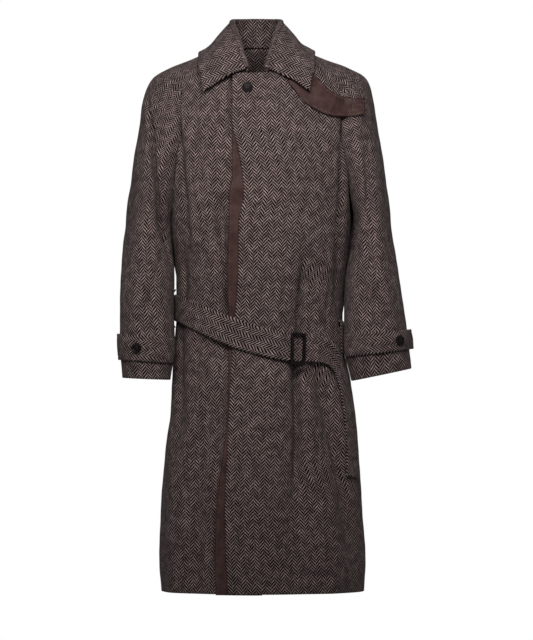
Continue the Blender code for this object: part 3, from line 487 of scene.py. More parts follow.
@dataclass(frozen=True)
class HerringboneTweed:
    """Woollen tweed in a broken herringbone: pale twill lines in zigzag stripes, under a soft nap."""

    name: str = "herringbone_wool_tweed"
    stripe_mm: float = 9.6
    # The ribs are nearer 4 mm apart; they are drawn this coarse so that they show
    twill_mm: float = 6.8
    slope: float = 1.1
    yarn_mm: float = 3.2
    dark: str = "#0c0707"
    pale: str = "#988582"
    # How far apart the yarn wanders, the fibres thicken and the dye changes
    wander_mm: float = 6.25
    fibre_mm: float = 16.667
    lot_mm: float = 83.333
    # How far the lines can wander, where a rib starts and is full, and how deep it is in metres
    wander_by_mm: float = 1.6
    rib_range: tuple[float, float] = (0.05, 0.6)
    rib_depth: float = 0.0007
    # Least and most brightness of a float of yarn, a thick place and a dye lot
    float_range: tuple[float, float] = (0.8, 1.5)
    fleck_range: tuple[float, float] = (0.75, 1.25)
    lot_range: tuple[float, float] = (0.92, 1.08)

    def make(self) -> bpy.types.Material:
        """Makes the material, which follows the piece's grain map.

        Returns:
            The tweed.
        """
        made, tree, shader = new_tree(
            self.name, Roughness=0.95, Sheen_Weight=0.03, Sheen_Roughness=0.5, Specular_IOR_Level=0.08
        )
        grain = add_node(tree, "UVMap", uv_map="grain")
        mm = add_node(tree, "VectorMath", {0: grain.outputs[0], "Scale": 1000.0}, operation="SCALE")
        # Spun yarn is never even, so the lines wander by about half a millimetre
        wander = add_node(
            tree, "TexNoise", {"Vector": mm.outputs[0], "Scale": 1 / self.wander_mm, "Detail": 2.0}
        )
        shift = add_node(
            tree,
            "VectorMath",
            {0: wander.outputs["Color"], 1: (self.wander_by_mm, self.wander_by_mm, 0.0), 2: mm.outputs[0]},
            operation="MULTIPLY_ADD",
        )
        split = add_node(tree, "SeparateXYZ", {0: shift.outputs[0]})
        across, along = split.outputs[0], split.outputs[1]
        zigzag = add_node(tree, "Math", {0: across, 1: self.stripe_mm}, operation="PINGPONG")
        stripe = add_node(tree, "Math", {0: across, 1: self.stripe_mm}, operation="DIVIDE")
        number = add_node(tree, "Math", {0: stripe.outputs[0]}, operation="FLOOR")
        other = add_node(tree, "Math", {0: number.outputs[0], 1: 2.0}, operation="FLOORED_MODULO")
        slanted = add_node(
            tree, "Math", {0: zigzag.outputs[0], 1: self.slope, 2: along}, operation="MULTIPLY_ADD"
        )
        broken = add_node(
            tree,
            "Math",
            {0: other.outputs[0], 1: self.twill_mm / 2, 2: slanted.outputs[0]},
            operation="MULTIPLY_ADD",
        )
        turn = add_node(
            tree, "Math", {0: broken.outputs[0], 1: 2 * math.pi / self.twill_mm}, operation="MULTIPLY"
        )
        wave = add_node(tree, "Math", {0: turn.outputs[0]}, operation="SINE")
        low, high = self.rib_range
        line = add_node(
            tree,
            "MapRange",
            {"Value": wave.outputs[0], "From Min": low, "From Max": high},
            interpolation_type="SMOOTHSTEP",
        )
        # Each float of pale yarn has its own brightness
        yarn = add_node(tree, "Math", {0: across, 1: self.yarn_mm}, operation="SNAP")
        row = add_node(tree, "Math", {0: broken.outputs[0], 1: self.twill_mm}, operation="SNAP")
        cell = add_node(tree, "CombineXYZ", {0: yarn.outputs[0], 1: row.outputs[0]})
        chance = add_node(tree, "TexWhiteNoise", {"Vector": cell.outputs[0]}, noise_dimensions="2D")
        uneven = add_node(tree, "Math", {0: chance.outputs["Value"], 1: 1.5}, operation="POWER")
        dull, bright = self.float_range
        float_light = add_node(
            tree, "MapRange", {"Value": uneven.outputs[0], "To Min": dull, "To Max": bright}
        )
        fibre = add_node(
            tree, "TexNoise", {"Vector": mm.outputs[0], "Scale": 1 / self.fibre_mm, "Detail": 1.0}
        )
        dull, bright = self.fleck_range
        fleck = add_node(
            tree,
            "MapRange",
            {
                "Value": fibre.outputs["Fac"],
                "From Min": 0.36,
                "From Max": 0.64,
                "To Min": dull,
                "To Max": bright,
            },
        )
        lit = add_node(tree, "Math", {0: line.outputs[0], 1: float_light.outputs[0]}, operation="MULTIPLY")
        share = add_node(tree, "Math", {0: lit.outputs[0], 1: fleck.outputs[0]}, operation="MULTIPLY")
        colour = add_node(
            tree,
            "Mix",
            {0: share.outputs[0], 6: linear(self.dark), 7: linear(self.pale)},
            data_type="RGBA",
            clamp_factor=False,
        )
        # Dye lots differ a little over a hand's breadth
        lot = add_node(tree, "TexNoise", {"Vector": mm.outputs[0], "Scale": 1 / self.lot_mm, "Detail": 2.0})
        dull, bright = self.lot_range
        tint = add_node(
            tree,
            "MapRange",
            {
                "Value": lot.outputs["Fac"],
                "From Min": 0.3,
                "From Max": 0.7,
                "To Min": dull,
                "To Max": bright,
            },
        )
        dyed = add_node(
            tree, "VectorMath", {0: colour.outputs[2], "Scale": tint.outputs[0]}, operation="SCALE"
        )
        bump = add_node(
            tree, "Bump", {"Height": share.outputs[0], "Strength": 0.55, "Distance": self.rib_depth}
        )
        tree.links.new(dyed.outputs[0], shader.inputs["Base Color"])
        tree.links.new(bump.outputs[0], shader.inputs["Normal"])
        return made


@dataclass(frozen=True)
class Leather:
    """Calf leather, drum dyed and lightly waxed: a fine pebbled grain, soft shine, worn raised places."""

    name: str
    base: str
    worn: str
    roughness: float = 0.46
    # The pores are finer than a millimetre; they are drawn at this size so that they show
    pebble_mm: float = 1.5
    # Worn places to the metre, and how much rougher or smoother they are
    wear_scale: float = 38.0
    gloss_range: float = 0.1
    # Depths of the pores and of the worn creases
    pore_depth: float = 0.0004
    crease_depth: float = 0.0016

    def make(self) -> bpy.types.Material:
        """Makes the leather.

        Returns:
            The material.
        """
        made, tree, shader = new_tree(self.name, Specular_IOR_Level=0.14)
        place = add_node(tree, "TexCoord").outputs["Object"]
        pebble = add_node(tree, "TexVoronoi", {"Vector": place, "Scale": 1000.0 / self.pebble_mm})
        wear = add_node(
            tree, "TexNoise", {"Vector": place, "Scale": self.wear_scale, "Detail": 5.0, "Roughness": 0.62}
        )
        worn = add_node(tree, "MapRange", {"Value": wear.outputs["Fac"], "From Min": 0.36, "From Max": 0.72})
        colour = add_node(
            tree,
            "Mix",
            {0: worn.outputs[0], 6: linear(self.base), 7: linear(self.worn)},
            data_type="RGBA",
        )
        gloss = add_node(
            tree,
            "MapRange",
            {
                "Value": wear.outputs["Fac"],
                "To Min": self.roughness + self.gloss_range,
                "To Max": self.roughness - self.gloss_range,
            },
        )
        bump = add_node(
            tree,
            "Bump",
            {"Height": pebble.outputs["Distance"], "Strength": 0.25, "Distance": self.pore_depth},
        )
        crease = add_node(
            tree,
            "Bump",
            {
                "Height": wear.outputs["Fac"],
                "Strength": 0.5,
                "Distance": self.crease_depth,
                "Normal": bump.outputs[0],
            },
        )
        tree.links.new(colour.outputs[2], shader.inputs["Base Color"])
        tree.links.new(gloss.outputs[0], shader.inputs["Roughness"])
        tree.links.new(crease.outputs[0], shader.inputs["Normal"])
        return made


@dataclass(frozen=True)
class PolishedHorn:
    """Turned buffalo horn: nearly black, with brown streaks under a satin polish."""

    name: str = "polished_buffalo_horn"
    base: str = "#0b0a0b"
    streak: str = "#241d1a"
    streak_mm: float = 4.0
    # Stretch of the streaks along z, and how deep their grain is
    stretch: float = 0.35
    grain_depth: float = 0.0003

    def make(self) -> bpy.types.Material:
        """Makes the horn.

        Returns:
            The material.
        """
        made, tree, shader = new_tree(self.name, Roughness=0.36, Specular_IOR_Level=0.2)
        place = add_node(tree, "TexCoord").outputs["Object"]
        drawn = add_node(tree, "Mapping", {"Vector": place, "Scale": (1.0, 1.0, self.stretch)})
        grain = add_node(
            tree, "TexNoise", {"Vector": drawn.outputs[0], "Scale": 1000.0 / self.streak_mm, "Detail": 4.0}
        )
        streak = add_node(
            tree, "MapRange", {"Value": grain.outputs["Fac"], "From Min": 0.45, "From Max": 0.8}
        )
        colour = add_node(
            tree,
            "Mix",
            {0: streak.outputs[0], 6: linear(self.base), 7: linear(self.streak)},
            data_type="RGBA",
        )
        bump = add_node(
            tree, "Bump", {"Height": grain.outputs["Fac"], "Strength": 0.15, "Distance": self.grain_depth}
        )
        tree.links.new(colour.outputs[2], shader.inputs["Base Color"])
        tree.links.new(bump.outputs[0], shader.inputs["Normal"])
        return made


@dataclass(frozen=True)
class WaxedThread:
    """Twisted polyester thread, waxed: slanting plies drawn in painted shade and painted highlight, and a
    dull shine.
    """

    name: str = "waxed_sewing_thread"
    # Painted shade of the grooves between the plies, and painted highlight of their crests
    shade: str = "#4a3531"
    light: str = "#8a706a"
    ply_mm: float = 0.6

    def make(self) -> bpy.types.Material:
        """Makes the thread.

        Returns:
            The material.
        """
        made, tree, shader = new_tree(self.name, Roughness=0.6, Specular_IOR_Level=0.4)
        place = add_node(tree, "TexCoord").outputs["Object"]
        # The slanting bands are painted shade and painted highlight of the twisted plies
        ply_shading = add_node(
            tree,
            "TexWave",
            {"Vector": place, "Scale": 1000.0 / self.ply_mm / 20.0, "Distortion": 0.6},
            bands_direction="DIAGONAL",
        )
        colour = add_node(
            tree,
            "Mix",
            {0: ply_shading.outputs["Fac"], 6: linear(self.shade), 7: linear(self.light)},
            data_type="RGBA",
        )
        tree.links.new(colour.outputs[2], shader.inputs["Base Color"])
        return made


@dataclass(frozen=True)
class PaleFloor:
    """Matt studio paper: nearly white, with the faintest mottling."""

    name: str = "matt_studio_paper"
    base: str = "#fafaf9"
    cloud: str = "#fdfdfc"

    def make(self) -> bpy.types.Material:
        """Makes the paper.

        Returns:
            The material.
        """
        made, tree, shader = new_tree(self.name, Roughness=0.9, Specular_IOR_Level=0.1)
        place = add_node(tree, "TexCoord").outputs["Object"]
        cloud = add_node(tree, "TexNoise", {"Vector": place, "Scale": 0.8, "Detail": 2.0})
        colour = add_node(
            tree,
            "Mix",
            {0: cloud.outputs["Fac"], 6: linear(self.base), 7: linear(self.cloud)},
            data_type="RGBA",
        )
        tree.links.new(colour.outputs[2], shader.inputs["Base Color"])
        return made


# Cloth and thread


def publish(piece: bpy.types.Object, slot: str | None, *nodes: str) -> bpy.types.Object:
    """Rides a piece on the coat.

    Args:
        piece: the finished piece.
        slot: not used.
        *nodes: the CAD nodes it stands for.

    Returns:
        The piece.
    """
    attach(piece, "root")
    if nodes:
        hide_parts(*nodes)
    log.info("%s: %d faces", piece.name, len(piece.data.polygons))
    return piece


def start_primitive() -> None:
    """Deselects everything, so that an operator acts on the new piece alone."""
    bpy.ops.object.select_all(action="DESELECT")


def place_mesh(piece: bpy.types.Object, centre: Array, turned: Matrix) -> None:
    """Moves a mesh to its place and leaves its object at the origin."""
    piece.data.transform(Matrix.Translation(Vector(centre)) @ turned.to_4x4())
    piece.data.update()


def mesh_object(
    name: str, points: Array, faces: Sequence[Sequence[int]], finish: bpy.types.Material
) -> bpy.types.Object:
    """Makes a smooth mesh object in the scene.

    Args:
        name: its name.
        points: the mesh's points.
        faces: the points of each face.
        finish: its material.

    Returns:
        The object.
    """
    mesh = bpy.data.meshes.new(name)
    mesh.from_pydata(points.tolist(), [], faces)
    mesh.shade_smooth()
    mesh.materials.append(finish)
    made = bpy.data.objects.new(name, mesh)
    bpy.context.scene.collection.objects.link(made)
    return made


@dataclass
class Cloth:
    """A piece of cloth or leather: the points of its outer face, with its grain and its thickness."""

    name: str
    outer: Array
    facing: Array
    thickness: float
    grain: Array
    # Edges that turn in at a seam, of bottom, top, first and last
    seams: tuple[str, ...] = ()
    seam_depth: float = 0.0007
    seam_width: float = 0.0022
    # Share of the thickness by which the rim stands out, so that the edge is round
    rim_round: float = 0.42

    def seam_distance(self, edge: str) -> Array:
        """How far each point lies from an edge of the grid, along its row or column."""
        if edge in ("first", "last"):
            run = run_length(self.outer, 1)
            return run if edge == "first" else run[:, -1:] - run
        run = run_length(self.outer, 0)
        return run if edge == "bottom" else run[-1:] - run

    def rolled(self) -> Array:
        """The outer face with its seam edges turned in."""
        inward = np.zeros(self.outer.shape[:2])
        for edge in self.seams:
            turned = self.seam_depth * hump(self.seam_distance(edge), self.seam_width)
            inward = np.maximum(inward, turned)
        return self.outer - self.facing * inward[..., None]

    def build(self, finish: bpy.types.Material) -> bpy.types.Object:
        """Builds the closed wall with rounded edges.

        Args:
            finish: its material.

        Returns:
            The mesh object.
        """
        outer = self.rolled()
        rows, columns = outer.shape[:2]
        inner = outer - self.facing * self.thickness
        index = np.arange(rows * columns).reshape(rows, columns)
        rim = np.concatenate([index[0], index[1:, -1], index[-1, -2::-1], index[-2:0:-1, 0]])
        away = np.zeros_like(outer)
        away[0] += unit(outer[0] - outer[1])
        away[-1] += unit(outer[-1] - outer[-2])
        away[:, 0] += unit(outer[:, 0] - outer[:, 1])
        away[:, -1] += unit(outer[:, -1] - outer[:, -2])
        flat_outer, flat_inner = outer.reshape(-1, 3), inner.reshape(-1, 3)
        swollen = unit(away.reshape(-1, 3)[rim]) * self.thickness * self.rim_round
        edge = (flat_outer[rim] + flat_inner[rim]) / 2 + swollen
        points = np.concatenate([flat_outer, flat_inner, edge])
        quads = grid_quads(index)
        total, middle = rows * columns, 2 * rows * columns + np.arange(len(rim))
        after, middle_after = np.roll(rim, -1), np.roll(middle, -1)
        faces = np.concatenate(
            [
                quads,
                quads[:, ::-1] + total,
                np.stack([after, rim, middle, middle_after], axis=-1),
                np.stack([middle_after, middle, rim + total, after + total], axis=-1),
            ]
        )
        first = points[faces[0]]
        if np.dot(np.cross(first[1] - first[0], first[3] - first[0]), self.facing[0, 0]) < 0:
            faces = faces[:, ::-1]
        made = mesh_object(self.name, points, faces.tolist(), finish)
        flat_grain = self.grain.reshape(-1, 2)
        per_point = np.concatenate([flat_grain, flat_grain, flat_grain[rim]])
        uv = made.data.uv_layers.new(name="grain")
        uv.data.foreach_set("uv", per_point[faces.reshape(-1)].astype(np.float32).reshape(-1))
        return made

    def cut(self) -> tuple[tuple[float, float], float]:
        """The size of the cut cloth.

        Returns:
            Width and length of the cut's box in metres, and its flat area.
        """
        width, length = np.ptp(self.grain.reshape(-1, 2), axis=0)
        sides = np.cross(np.diff(self.outer, axis=1)[:-1], np.diff(self.outer, axis=0)[:, :-1])
        area = float(np.linalg.norm(sides, axis=-1).sum())
        return (float(width), float(length)), min(area, float(width * length))

    def declare(
        self,
        held: Held,
    ) -> None:
        """Logs the size of the cut cloth.

        Args:
            held: not used.
        """
        flat, area = self.cut()
        log.info("%s: cut %.3f x %.3f m, %.3f square metres", self.name, *flat, area)


def sample(grid: Array, row: Array, column: Array) -> Array:
    """Points of a grid at shares of its rows and columns."""
    r = np.clip(row, 0.0, 1.0) * (grid.shape[0] - 1)
    c = np.clip(column, 0.0, 1.0) * (grid.shape[1] - 1)
    i, j = (np.minimum(v.astype(int), n - 2) for v, n in ((r, grid.shape[0]), (c, grid.shape[1])))
    s, t = (r - i)[..., None], (c - j)[..., None]
    low = grid[i, j] * (1 - t) + grid[i, j + 1] * t
    return low * (1 - s) + (grid[i + 1, j] * (1 - t) + grid[i + 1, j + 1] * t) * s


def read_line(values: Array, run: Array, at: float) -> Array:
    """A line's point or direction at a length along it."""
    return np.array([np.interp(at, run, values[:, a]) for a in range(3)])


@dataclass
class Stitching:
    """A row of stitches: short rounded lengths of thread sunk a little into the face."""

    length: float = 0.0034
    gap: float = 0.0016
    radius: float = 0.0005
    sides: int = 6
    # Shares of the radius by which the middle stands up and the ends are sunk
    rise: float = 0.2
    sink: float = 0.5
    probe: float = 1e-4

    def build(
        self, name: str, lines: Sequence[tuple[Array, Array]], finish: bpy.types.Material
    ) -> bpy.types.Object:
        """Builds stitches along lines.

        Args:
            name: the piece's name.
            lines: points and facing directions of each line.
            finish: the thread.

        Returns:
            The mesh object.
        """
        # Shares of the length and of the radius, from one end of a stitch to the other
        ribs = ((0.0, 0.25), (0.14, 0.85), (0.5, 1.0), (0.86, 0.85), (1.0, 0.25))
        turns = np.arange(self.sides) * 2 * np.pi / self.sides
        points: list[Array] = []
        faces: list[list[int]] = []
        for line, facing in lines:
            run = run_length(line, 0)
            starts = np.arange(self.gap / 2, run[-1] - self.length, self.length + self.gap)
            for start in starts:
                base = len(points) * self.sides
                for k, (along, swell) in enumerate(ribs):
                    at = start + along * self.length
                    middle, up = read_line(line, run, at), unit(read_line(facing, run, at))
                    ahead = read_line(line, run, at + self.probe)
                    behind = read_line(line, run, at - self.probe)
                    side = unit(np.cross(unit(ahead - behind), up))
                    rise = up * self.radius * (self.rise if 0 < k < len(ribs) - 1 else -self.sink)
                    ring = np.cos(turns)[:, None] * side + np.sin(turns)[:, None] * up
                    points.append(middle + rise + ring * self.radius * swell)
                for k in range(len(ribs) - 1):
                    for s in range(self.sides):
                        n = (s + 1) % self.sides
                        low, high = base + k * self.sides, base + (k + 1) * self.sides
                        faces.append([low + s, low + n, high + n, high + s])
                faces.append([base + s for s in reversed(range(self.sides))])
                faces.append([base + (len(ribs) - 1) * self.sides + s for s in range(self.sides)])
        return mesh_object(name, np.concatenate(points), faces, finish)


# Forms


@dataclass(frozen=True)
class BodyForm:
    """The body as a surface of angle and height: 0 is the front, 90 the wearer's left, 180 the back."""

    underarm_z: float = -0.300
    front_neck_z: float = -0.007
    back_neck_z: float = 0.046
    fly_lift_height: float = 0.0096
    lift_full_x: float = 0.020
    lift_end_x: float = 0.105
    belt_rise_x: float = -0.135
    belt_level_x: float = -0.056
    side_radius: float = 0.17
    seam_lap: float = 0.0004
    # Degrees to each side over which the outward direction is read
    probe: float = 0.6
    # How the rows crowd towards the neck, and how they bend from the centre to the seams
    row_crowding: float = 0.9
    row_bend: int = 3

    def half_width(self, sign: Array, z: Array) -> Array:
        """Half width on the side that the sign gives."""
        return np.where(sign >= 0, BODY.read("left", z), BODY.read("right", z))

    def ring(self, angle: Array, z: Array) -> Array:
        """Points of the level sections, without folds."""
        turn = np.radians(angle)
        sine, cosine = np.sin(turn), np.cos(turn)
        power = 2.0 / BODY.read("square", z)
        depth = np.where(cosine >= 0, BODY.read("front", z), BODY.read("back", z))
        x = self.half_width(sine, z) * np.sign(sine) * np.abs(sine) ** power
        y = -depth * np.sign(cosine) * np.abs(cosine) ** power
        return np.stack(np.broadcast_arrays(x, y, z), axis=-1)

    def ring_angle(self, x: Array, z: Array) -> Array:
        """Angle on the front half of the section where it reaches x."""
        share = np.clip(np.abs(x) / self.half_width(x, z), 0.0, 1.0)
        return np.sign(x) * np.degrees(np.arcsin(share ** (BODY.read("square", z) / 2.0)))

    def surface(
        self, angle: Array, z: Array, out: Array | float = 0.0, folds: Sequence[Table] = ()
    ) -> Array:
        """Points of the body, moved out level.

        Args:
            angle: angles in degrees.
            z: heights.
            out: how far out.
            folds: tables of folds that push the cloth in.

        Returns:
            The points.
        """
        angle, z = np.broadcast_arrays(np.asarray(angle, float), np.asarray(z, float))
        along = self.ring(angle + self.probe, z) - self.ring(angle - self.probe, z)
        outward = unit(np.stack([along[..., 1], -along[..., 0], np.zeros_like(z)], axis=-1))
        push = np.zeros_like(z) + out
        for rows in folds:
            push = push - fold_depth(rows, angle, z)
        return self.ring(angle, z) + push[..., None] * outward

    def fly_lift(self, x: Array) -> Array:
        """How far the outer front stands off the under front near its edge."""
        fall = ease((x - self.lift_full_x) / (self.lift_end_x - self.lift_full_x))
        return self.fly_lift_height * (1 - fall)

    def belt_base(self, x: Array, angle: Array) -> Array:
        """The layers under the belt, bridged down to the under front beyond the edge."""
        rise = ease((x - self.belt_rise_x) / (self.belt_level_x - self.belt_rise_x))
        return np.where(np.cos(np.radians(angle)) > 0, self.fly_lift(x) * rise, 0.0)

    def outer_front(self, angle: Array, z: Array) -> Array:
        """The overlapping front, lifted over the under front and the placket."""
        lift = self.fly_lift(self.ring(angle, z)[..., 0])
        return self.surface(angle, z, lift, (BODY_FOLDS, BODY_CREASES))

    def under_front(self, angle: Array, z: Array) -> Array:
        """The front beneath, which falls back beside the placket."""
        return self.surface(angle, z, 0.0, (BODY_FOLDS, BODY_CREASES, RECESS_FOLDS))

    def back(self, angle: Array, z: Array) -> Array:
        """The back."""
        return self.surface(angle, z, 0.0, (BODY_FOLDS, BODY_CREASES))

    def seam_angle(self, side: Side, z: Array) -> Array:
        """Angle of the raglan seam on the front half of a side."""
        return np.abs(self.ring_angle(side.value * RAGLAN.read(side.label, z), z))

    def rows(self, skirt: int, yoke: int) -> Array:
        """Side heights of a panel's rows, from the hem up to the neck."""
        lift = np.linspace(0.0, 1.0, yoke + 1)[1:]
        top = RAGLAN["z"][0]
        low = np.linspace(BODY["z"][-1], self.underarm_z, skirt)
        return np.concatenate([low, self.underarm_z + (top - self.underarm_z) * lift**self.row_crowding])

    def levels(self, neck_z: float, skirt: int, yoke: int) -> tuple[Array, Array, Array]:
        """Side heights of a panel's rows, which of them pass the underarm, and their centre heights."""
        z = self.rows(skirt, yoke)[:, None]
        above = np.maximum(0.0, z - self.underarm_z)
        reach = (neck_z - self.underarm_z) / (RAGLAN["z"][0] - self.underarm_z)
        return z, above > 0, np.where(above > 0, self.underarm_z + above * reach, z)

    def front_grid(
        self, side: Side, edge_x: Callable[[Array], Array], skirt: int, yoke: int, columns: int
    ) -> tuple[Array, Array]:
        """Angles and heights of a front, from its centre edge to its side seam and raglan seam.

        Args:
            side: whose front.
            edge_x: x of the centre edge at a height.
            skirt: rows below the underarm.
            yoke: rows above it.
            columns: columns across.

        Returns:
            Two grids, rows from the hem up.
        """
        z, above, centre_z = self.levels(self.front_neck_z, skirt, yoke)
        lap = math.degrees(self.seam_lap / self.side_radius)
        side_angle = np.where(above, self.seam_angle(side, z), 90.0) + lap
        start = self.ring_angle(edge_x(centre_z), centre_z)
        share = gathered(columns)[None]
        angle = start + (side.value * side_angle - start) * share
        return angle, centre_z + (z - centre_z) * share**self.row_bend

    def back_grid(self, skirt: int, yoke: int, columns: int) -> tuple[Array, Array]:
        """Angles and heights of the back, from the wearer's left seam round to the right seam."""
        z, above, centre_z = self.levels(self.back_neck_z, skirt, yoke)
        rise = np.where(above, RAGLAN.read("back_rise", z), 0.0)
        lap = math.degrees(self.seam_lap / self.side_radius)
        left = np.where(above, 180.0 - self.seam_angle(Side.LEFT, z), 90.0) - lap
        right = np.where(above, 180.0 + self.seam_angle(Side.RIGHT, z), 270.0) + lap
        share = gathered(columns)[None]
        bend = np.abs(2 * share - 1) ** self.row_bend
        return left + (right - left) * share, centre_z + (z + rise - centre_z) * bend


@dataclass(frozen=True)
class SleeveForm:
    """A raglan sleeve as a surface of share and row: the share runs from the front seam over the crest."""

    body: BodyForm
    side: Side
    folds: Table
    half_width: float = 0.045
    seam_lap: float = 0.0010

    def section(self, row: float) -> tuple:
        """One section: row 0 to 1 runs down the raglan seam and 1 to 2 down the arm.

        Args:
            row: the row.

        Returns:
            Centre, crest, middle, depth, opening angle, arch and the shifts of its two ends.
        """
        name, sign = self.side.label, self.side.value
        if row < 1.0:
            z = RAGLAN["z"][0] + (self.body.underarm_z - RAGLAN["z"][0]) * row
            seam = np.array([float(RAGLAN.read(name, z)), z])
            crest = np.array([float(RAGLAN.read(f"{name}_crest_{a}", z)) for a in "xz"])
            angle = float(self.body.seam_angle(self.side, np.array(z)))
            folds = (BODY_FOLDS, BODY_CREASES)
            front = self.body.surface(sign * angle, z, 0.0, folds)
            rise = float(RAGLAN.read("back_rise", z))
            back = self.body.surface(sign * (180.0 - angle), z + rise, 0.0, folds)
            middle, reach = (front[1] + back[1]) / 2, (back[1] - front[1]) / 2
            depth = max(float(RAGLAN.read("depth", z)), reach)
            opening = math.asin(min(1.0, reach / depth))
            arch = float(RAGLAN.read("arch", z))
            ends = np.array([[sign * front[0] - seam[0], 0.0], [sign * back[0] - seam[0], back[2] - z]])
        else:
            step = (row - 1.0) * ARM["step"][-1]
            seam = np.array([float(ARM.read(f"{name}_in{a}", step)) for a in ("", "_z")])
            crest = np.array([float(ARM.read(f"{name}_out{a}", step)) for a in ("", "_z")])
            depth, middle = float(ARM.read("depth", step)), float(ARM.read("middle", step))
            opening, arch, ends = 0.0, 1.0, np.zeros((2, 2))
        centre = crest + (seam - crest) / (1 + math.cos(opening))
        return centre, crest, middle, depth, opening, arch, ends

    def points(self, share: Array, rows: Array, folded: bool = True) -> Array:
        """Points of the sleeve.

        Args:
            share: places round the sleeve.
            rows: places down it.
            folded: whether its folds are pressed in.

        Returns:
            A grid, one line for each row.
        """
        lines = []
        for row in np.clip(rows, 0.0, 2.0):
            centre, crest, middle, depth, opening, arch, ends = self.section(float(row))
            kept = np.clip(share, 0.0, 1.0) if row < 1.0 else share
            even = np.arccos(1 - 2 * np.clip(kept, 0.0, 1.0)) / np.pi
            turn = opening + ((2 - arch) * kept + (arch - 1) * even) * (2 * np.pi - 2 * opening)
            reach = np.cos(turn)
            reach = np.where(reach < 0, -(np.abs(reach) ** arch), reach)
            x = centre[0] + (centre[0] - crest[0]) * reach
            z = centre[1] + (centre[1] - crest[1]) * reach
            inward = fold_depth(self.folds, np.degrees(turn), z) if folded else 0.0
            shrink = 1.0 - inward / np.hypot(depth * np.sin(turn), self.half_width * np.cos(turn))
            x = centre[0] + (x - centre[0]) * shrink
            across = np.full_like(x, 0.5)
            if opening > 0:
                across = np.clip(0.5 - 0.5 * np.sin(turn) / math.sin(opening), 0.0, 1.0)
            shift = ends[0] * (1 - across)[:, None] + ends[1] * across[:, None]
            shift = shift - self.seam_lap * unit(crest - centre)
            y = middle - depth * np.sin(turn) * shrink
            lines.append(np.stack([self.side.value * (x + shift[:, 0]), y, z + shift[:, 1]], axis=-1))
        return np.array(lines)


def drift(points: Array, facing: Array, size: float = 0.0007, fine: float = 0.6) -> Array:
    """Cloth never lies quite smooth: moves points in and out a little, by their place.

    Args:
        points: a grid of points.
        facing: its outward directions.
        size: half the span of the moves, which go mostly inwards.
        fine: share of the finer waves.

    Returns:
        The moved points.
    """
    turns = points @ np.stack([DRIFT_WAVES[axis] for axis in "xyz"]) + DRIFT_WAVES["start"]
    waves = np.sin(turns)
    wave = waves[..., 0] * waves[..., 1] + fine * waves[..., 2] * waves[..., 3]
    return points + facing * (size * (wave / (1 + fine) - 0.5))[..., None]


def facing_point(form: BodyForm, surface: Surface, x: float, z: float) -> tuple[Array, Array]:
    """A point of a front surface at x and z, with its outward direction."""
    angle, height = form.ring_angle(np.array(x), np.array(z)), np.array(z)
    across = surface(angle + PROBE_TURN, height) - surface(angle - PROBE_TURN, height)
    up = surface(angle, height + PROBE_RISE) - surface(angle, height - PROBE_RISE)
    return surface(angle, height), unit(np.cross(across, up))


# Sub-assemblies


@dataclass
class Finishes:
    """The coat's materials."""

    tweed: bpy.types.Material = field(default_factory=lambda: HerringboneTweed().make())
    leather: bpy.types.Material = field(
        default_factory=lambda: Leather("brown_calf_leather", "#402c2a", "#5f4642", 0.52).make()
    )
    cover: bpy.types.Material = field(
        default_factory=lambda: Leather("black_calf_leather", "#0e0b0b", "#1c1716", 0.5).make()
    )
    horn: bpy.types.Material = field(default_factory=lambda: PolishedHorn().make())
    thread: bpy.types.Material = field(default_factory=lambda: WaxedThread().make())


@dataclass
class BodyPanels:
    """The two fronts and the back."""

    form: BodyForm
    finishes: Finishes
    cloth: float = 0.0022
    underlap_x: float = 0.034
    skirt_rows: int = 150
    yoke_rows: int = 64
    front_columns: int = 130
    back_columns: int = 120
    faces: dict[str, Array] = field(default_factory=dict)

    def panel(self, name: str, points: Array, centre: int, seams: tuple[str, ...]) -> None:
        """Makes one panel.

        Args:
            name: the node it stands for.
            points: its outer face.
            centre: the column that its grain follows.
            seams: its seam edges.
        """
        facing = grid_normals(points)
        points = drift(points, facing)
        across = run_length(points, 1)
        across = across - across[:, [centre]]
        along = np.repeat(run_length(points, 0)[:, [centre]], points.shape[1], axis=1)
        along = along + points[..., 2] - points[:, [centre], 2]
        grain = np.stack([across, along], axis=-1)
        cloth = Cloth(f"cloth_{name}", points, facing, self.cloth, grain, seams)
        piece = publish(cloth.build(self.finishes.tweed), "tweed", name)
        cloth.declare(Held.HUNG)
        self.faces[name] = points

    def build(self) -> None:
        """Builds the three panels."""
        size = (self.skirt_rows, self.yoke_rows, self.front_columns)
        left = self.form.front_grid(Side.LEFT, lambda z: FLY_EDGE.read("outer", z), *size)
        self.panel("front_left", self.form.outer_front(*left), 0, ("last",))
        angle, z = self.form.front_grid(Side.RIGHT, lambda z: np.full_like(z, self.underlap_x), *size)
        right = self.form.under_front(angle[:, ::-1], z[:, ::-1])
        self.panel("front_right", right, -1, ("first",))
        back = self.form.back_grid(self.skirt_rows, self.yoke_rows, self.back_columns)
        self.panel("back", self.form.back(*back), self.back_columns // 2, ("first", "last"))


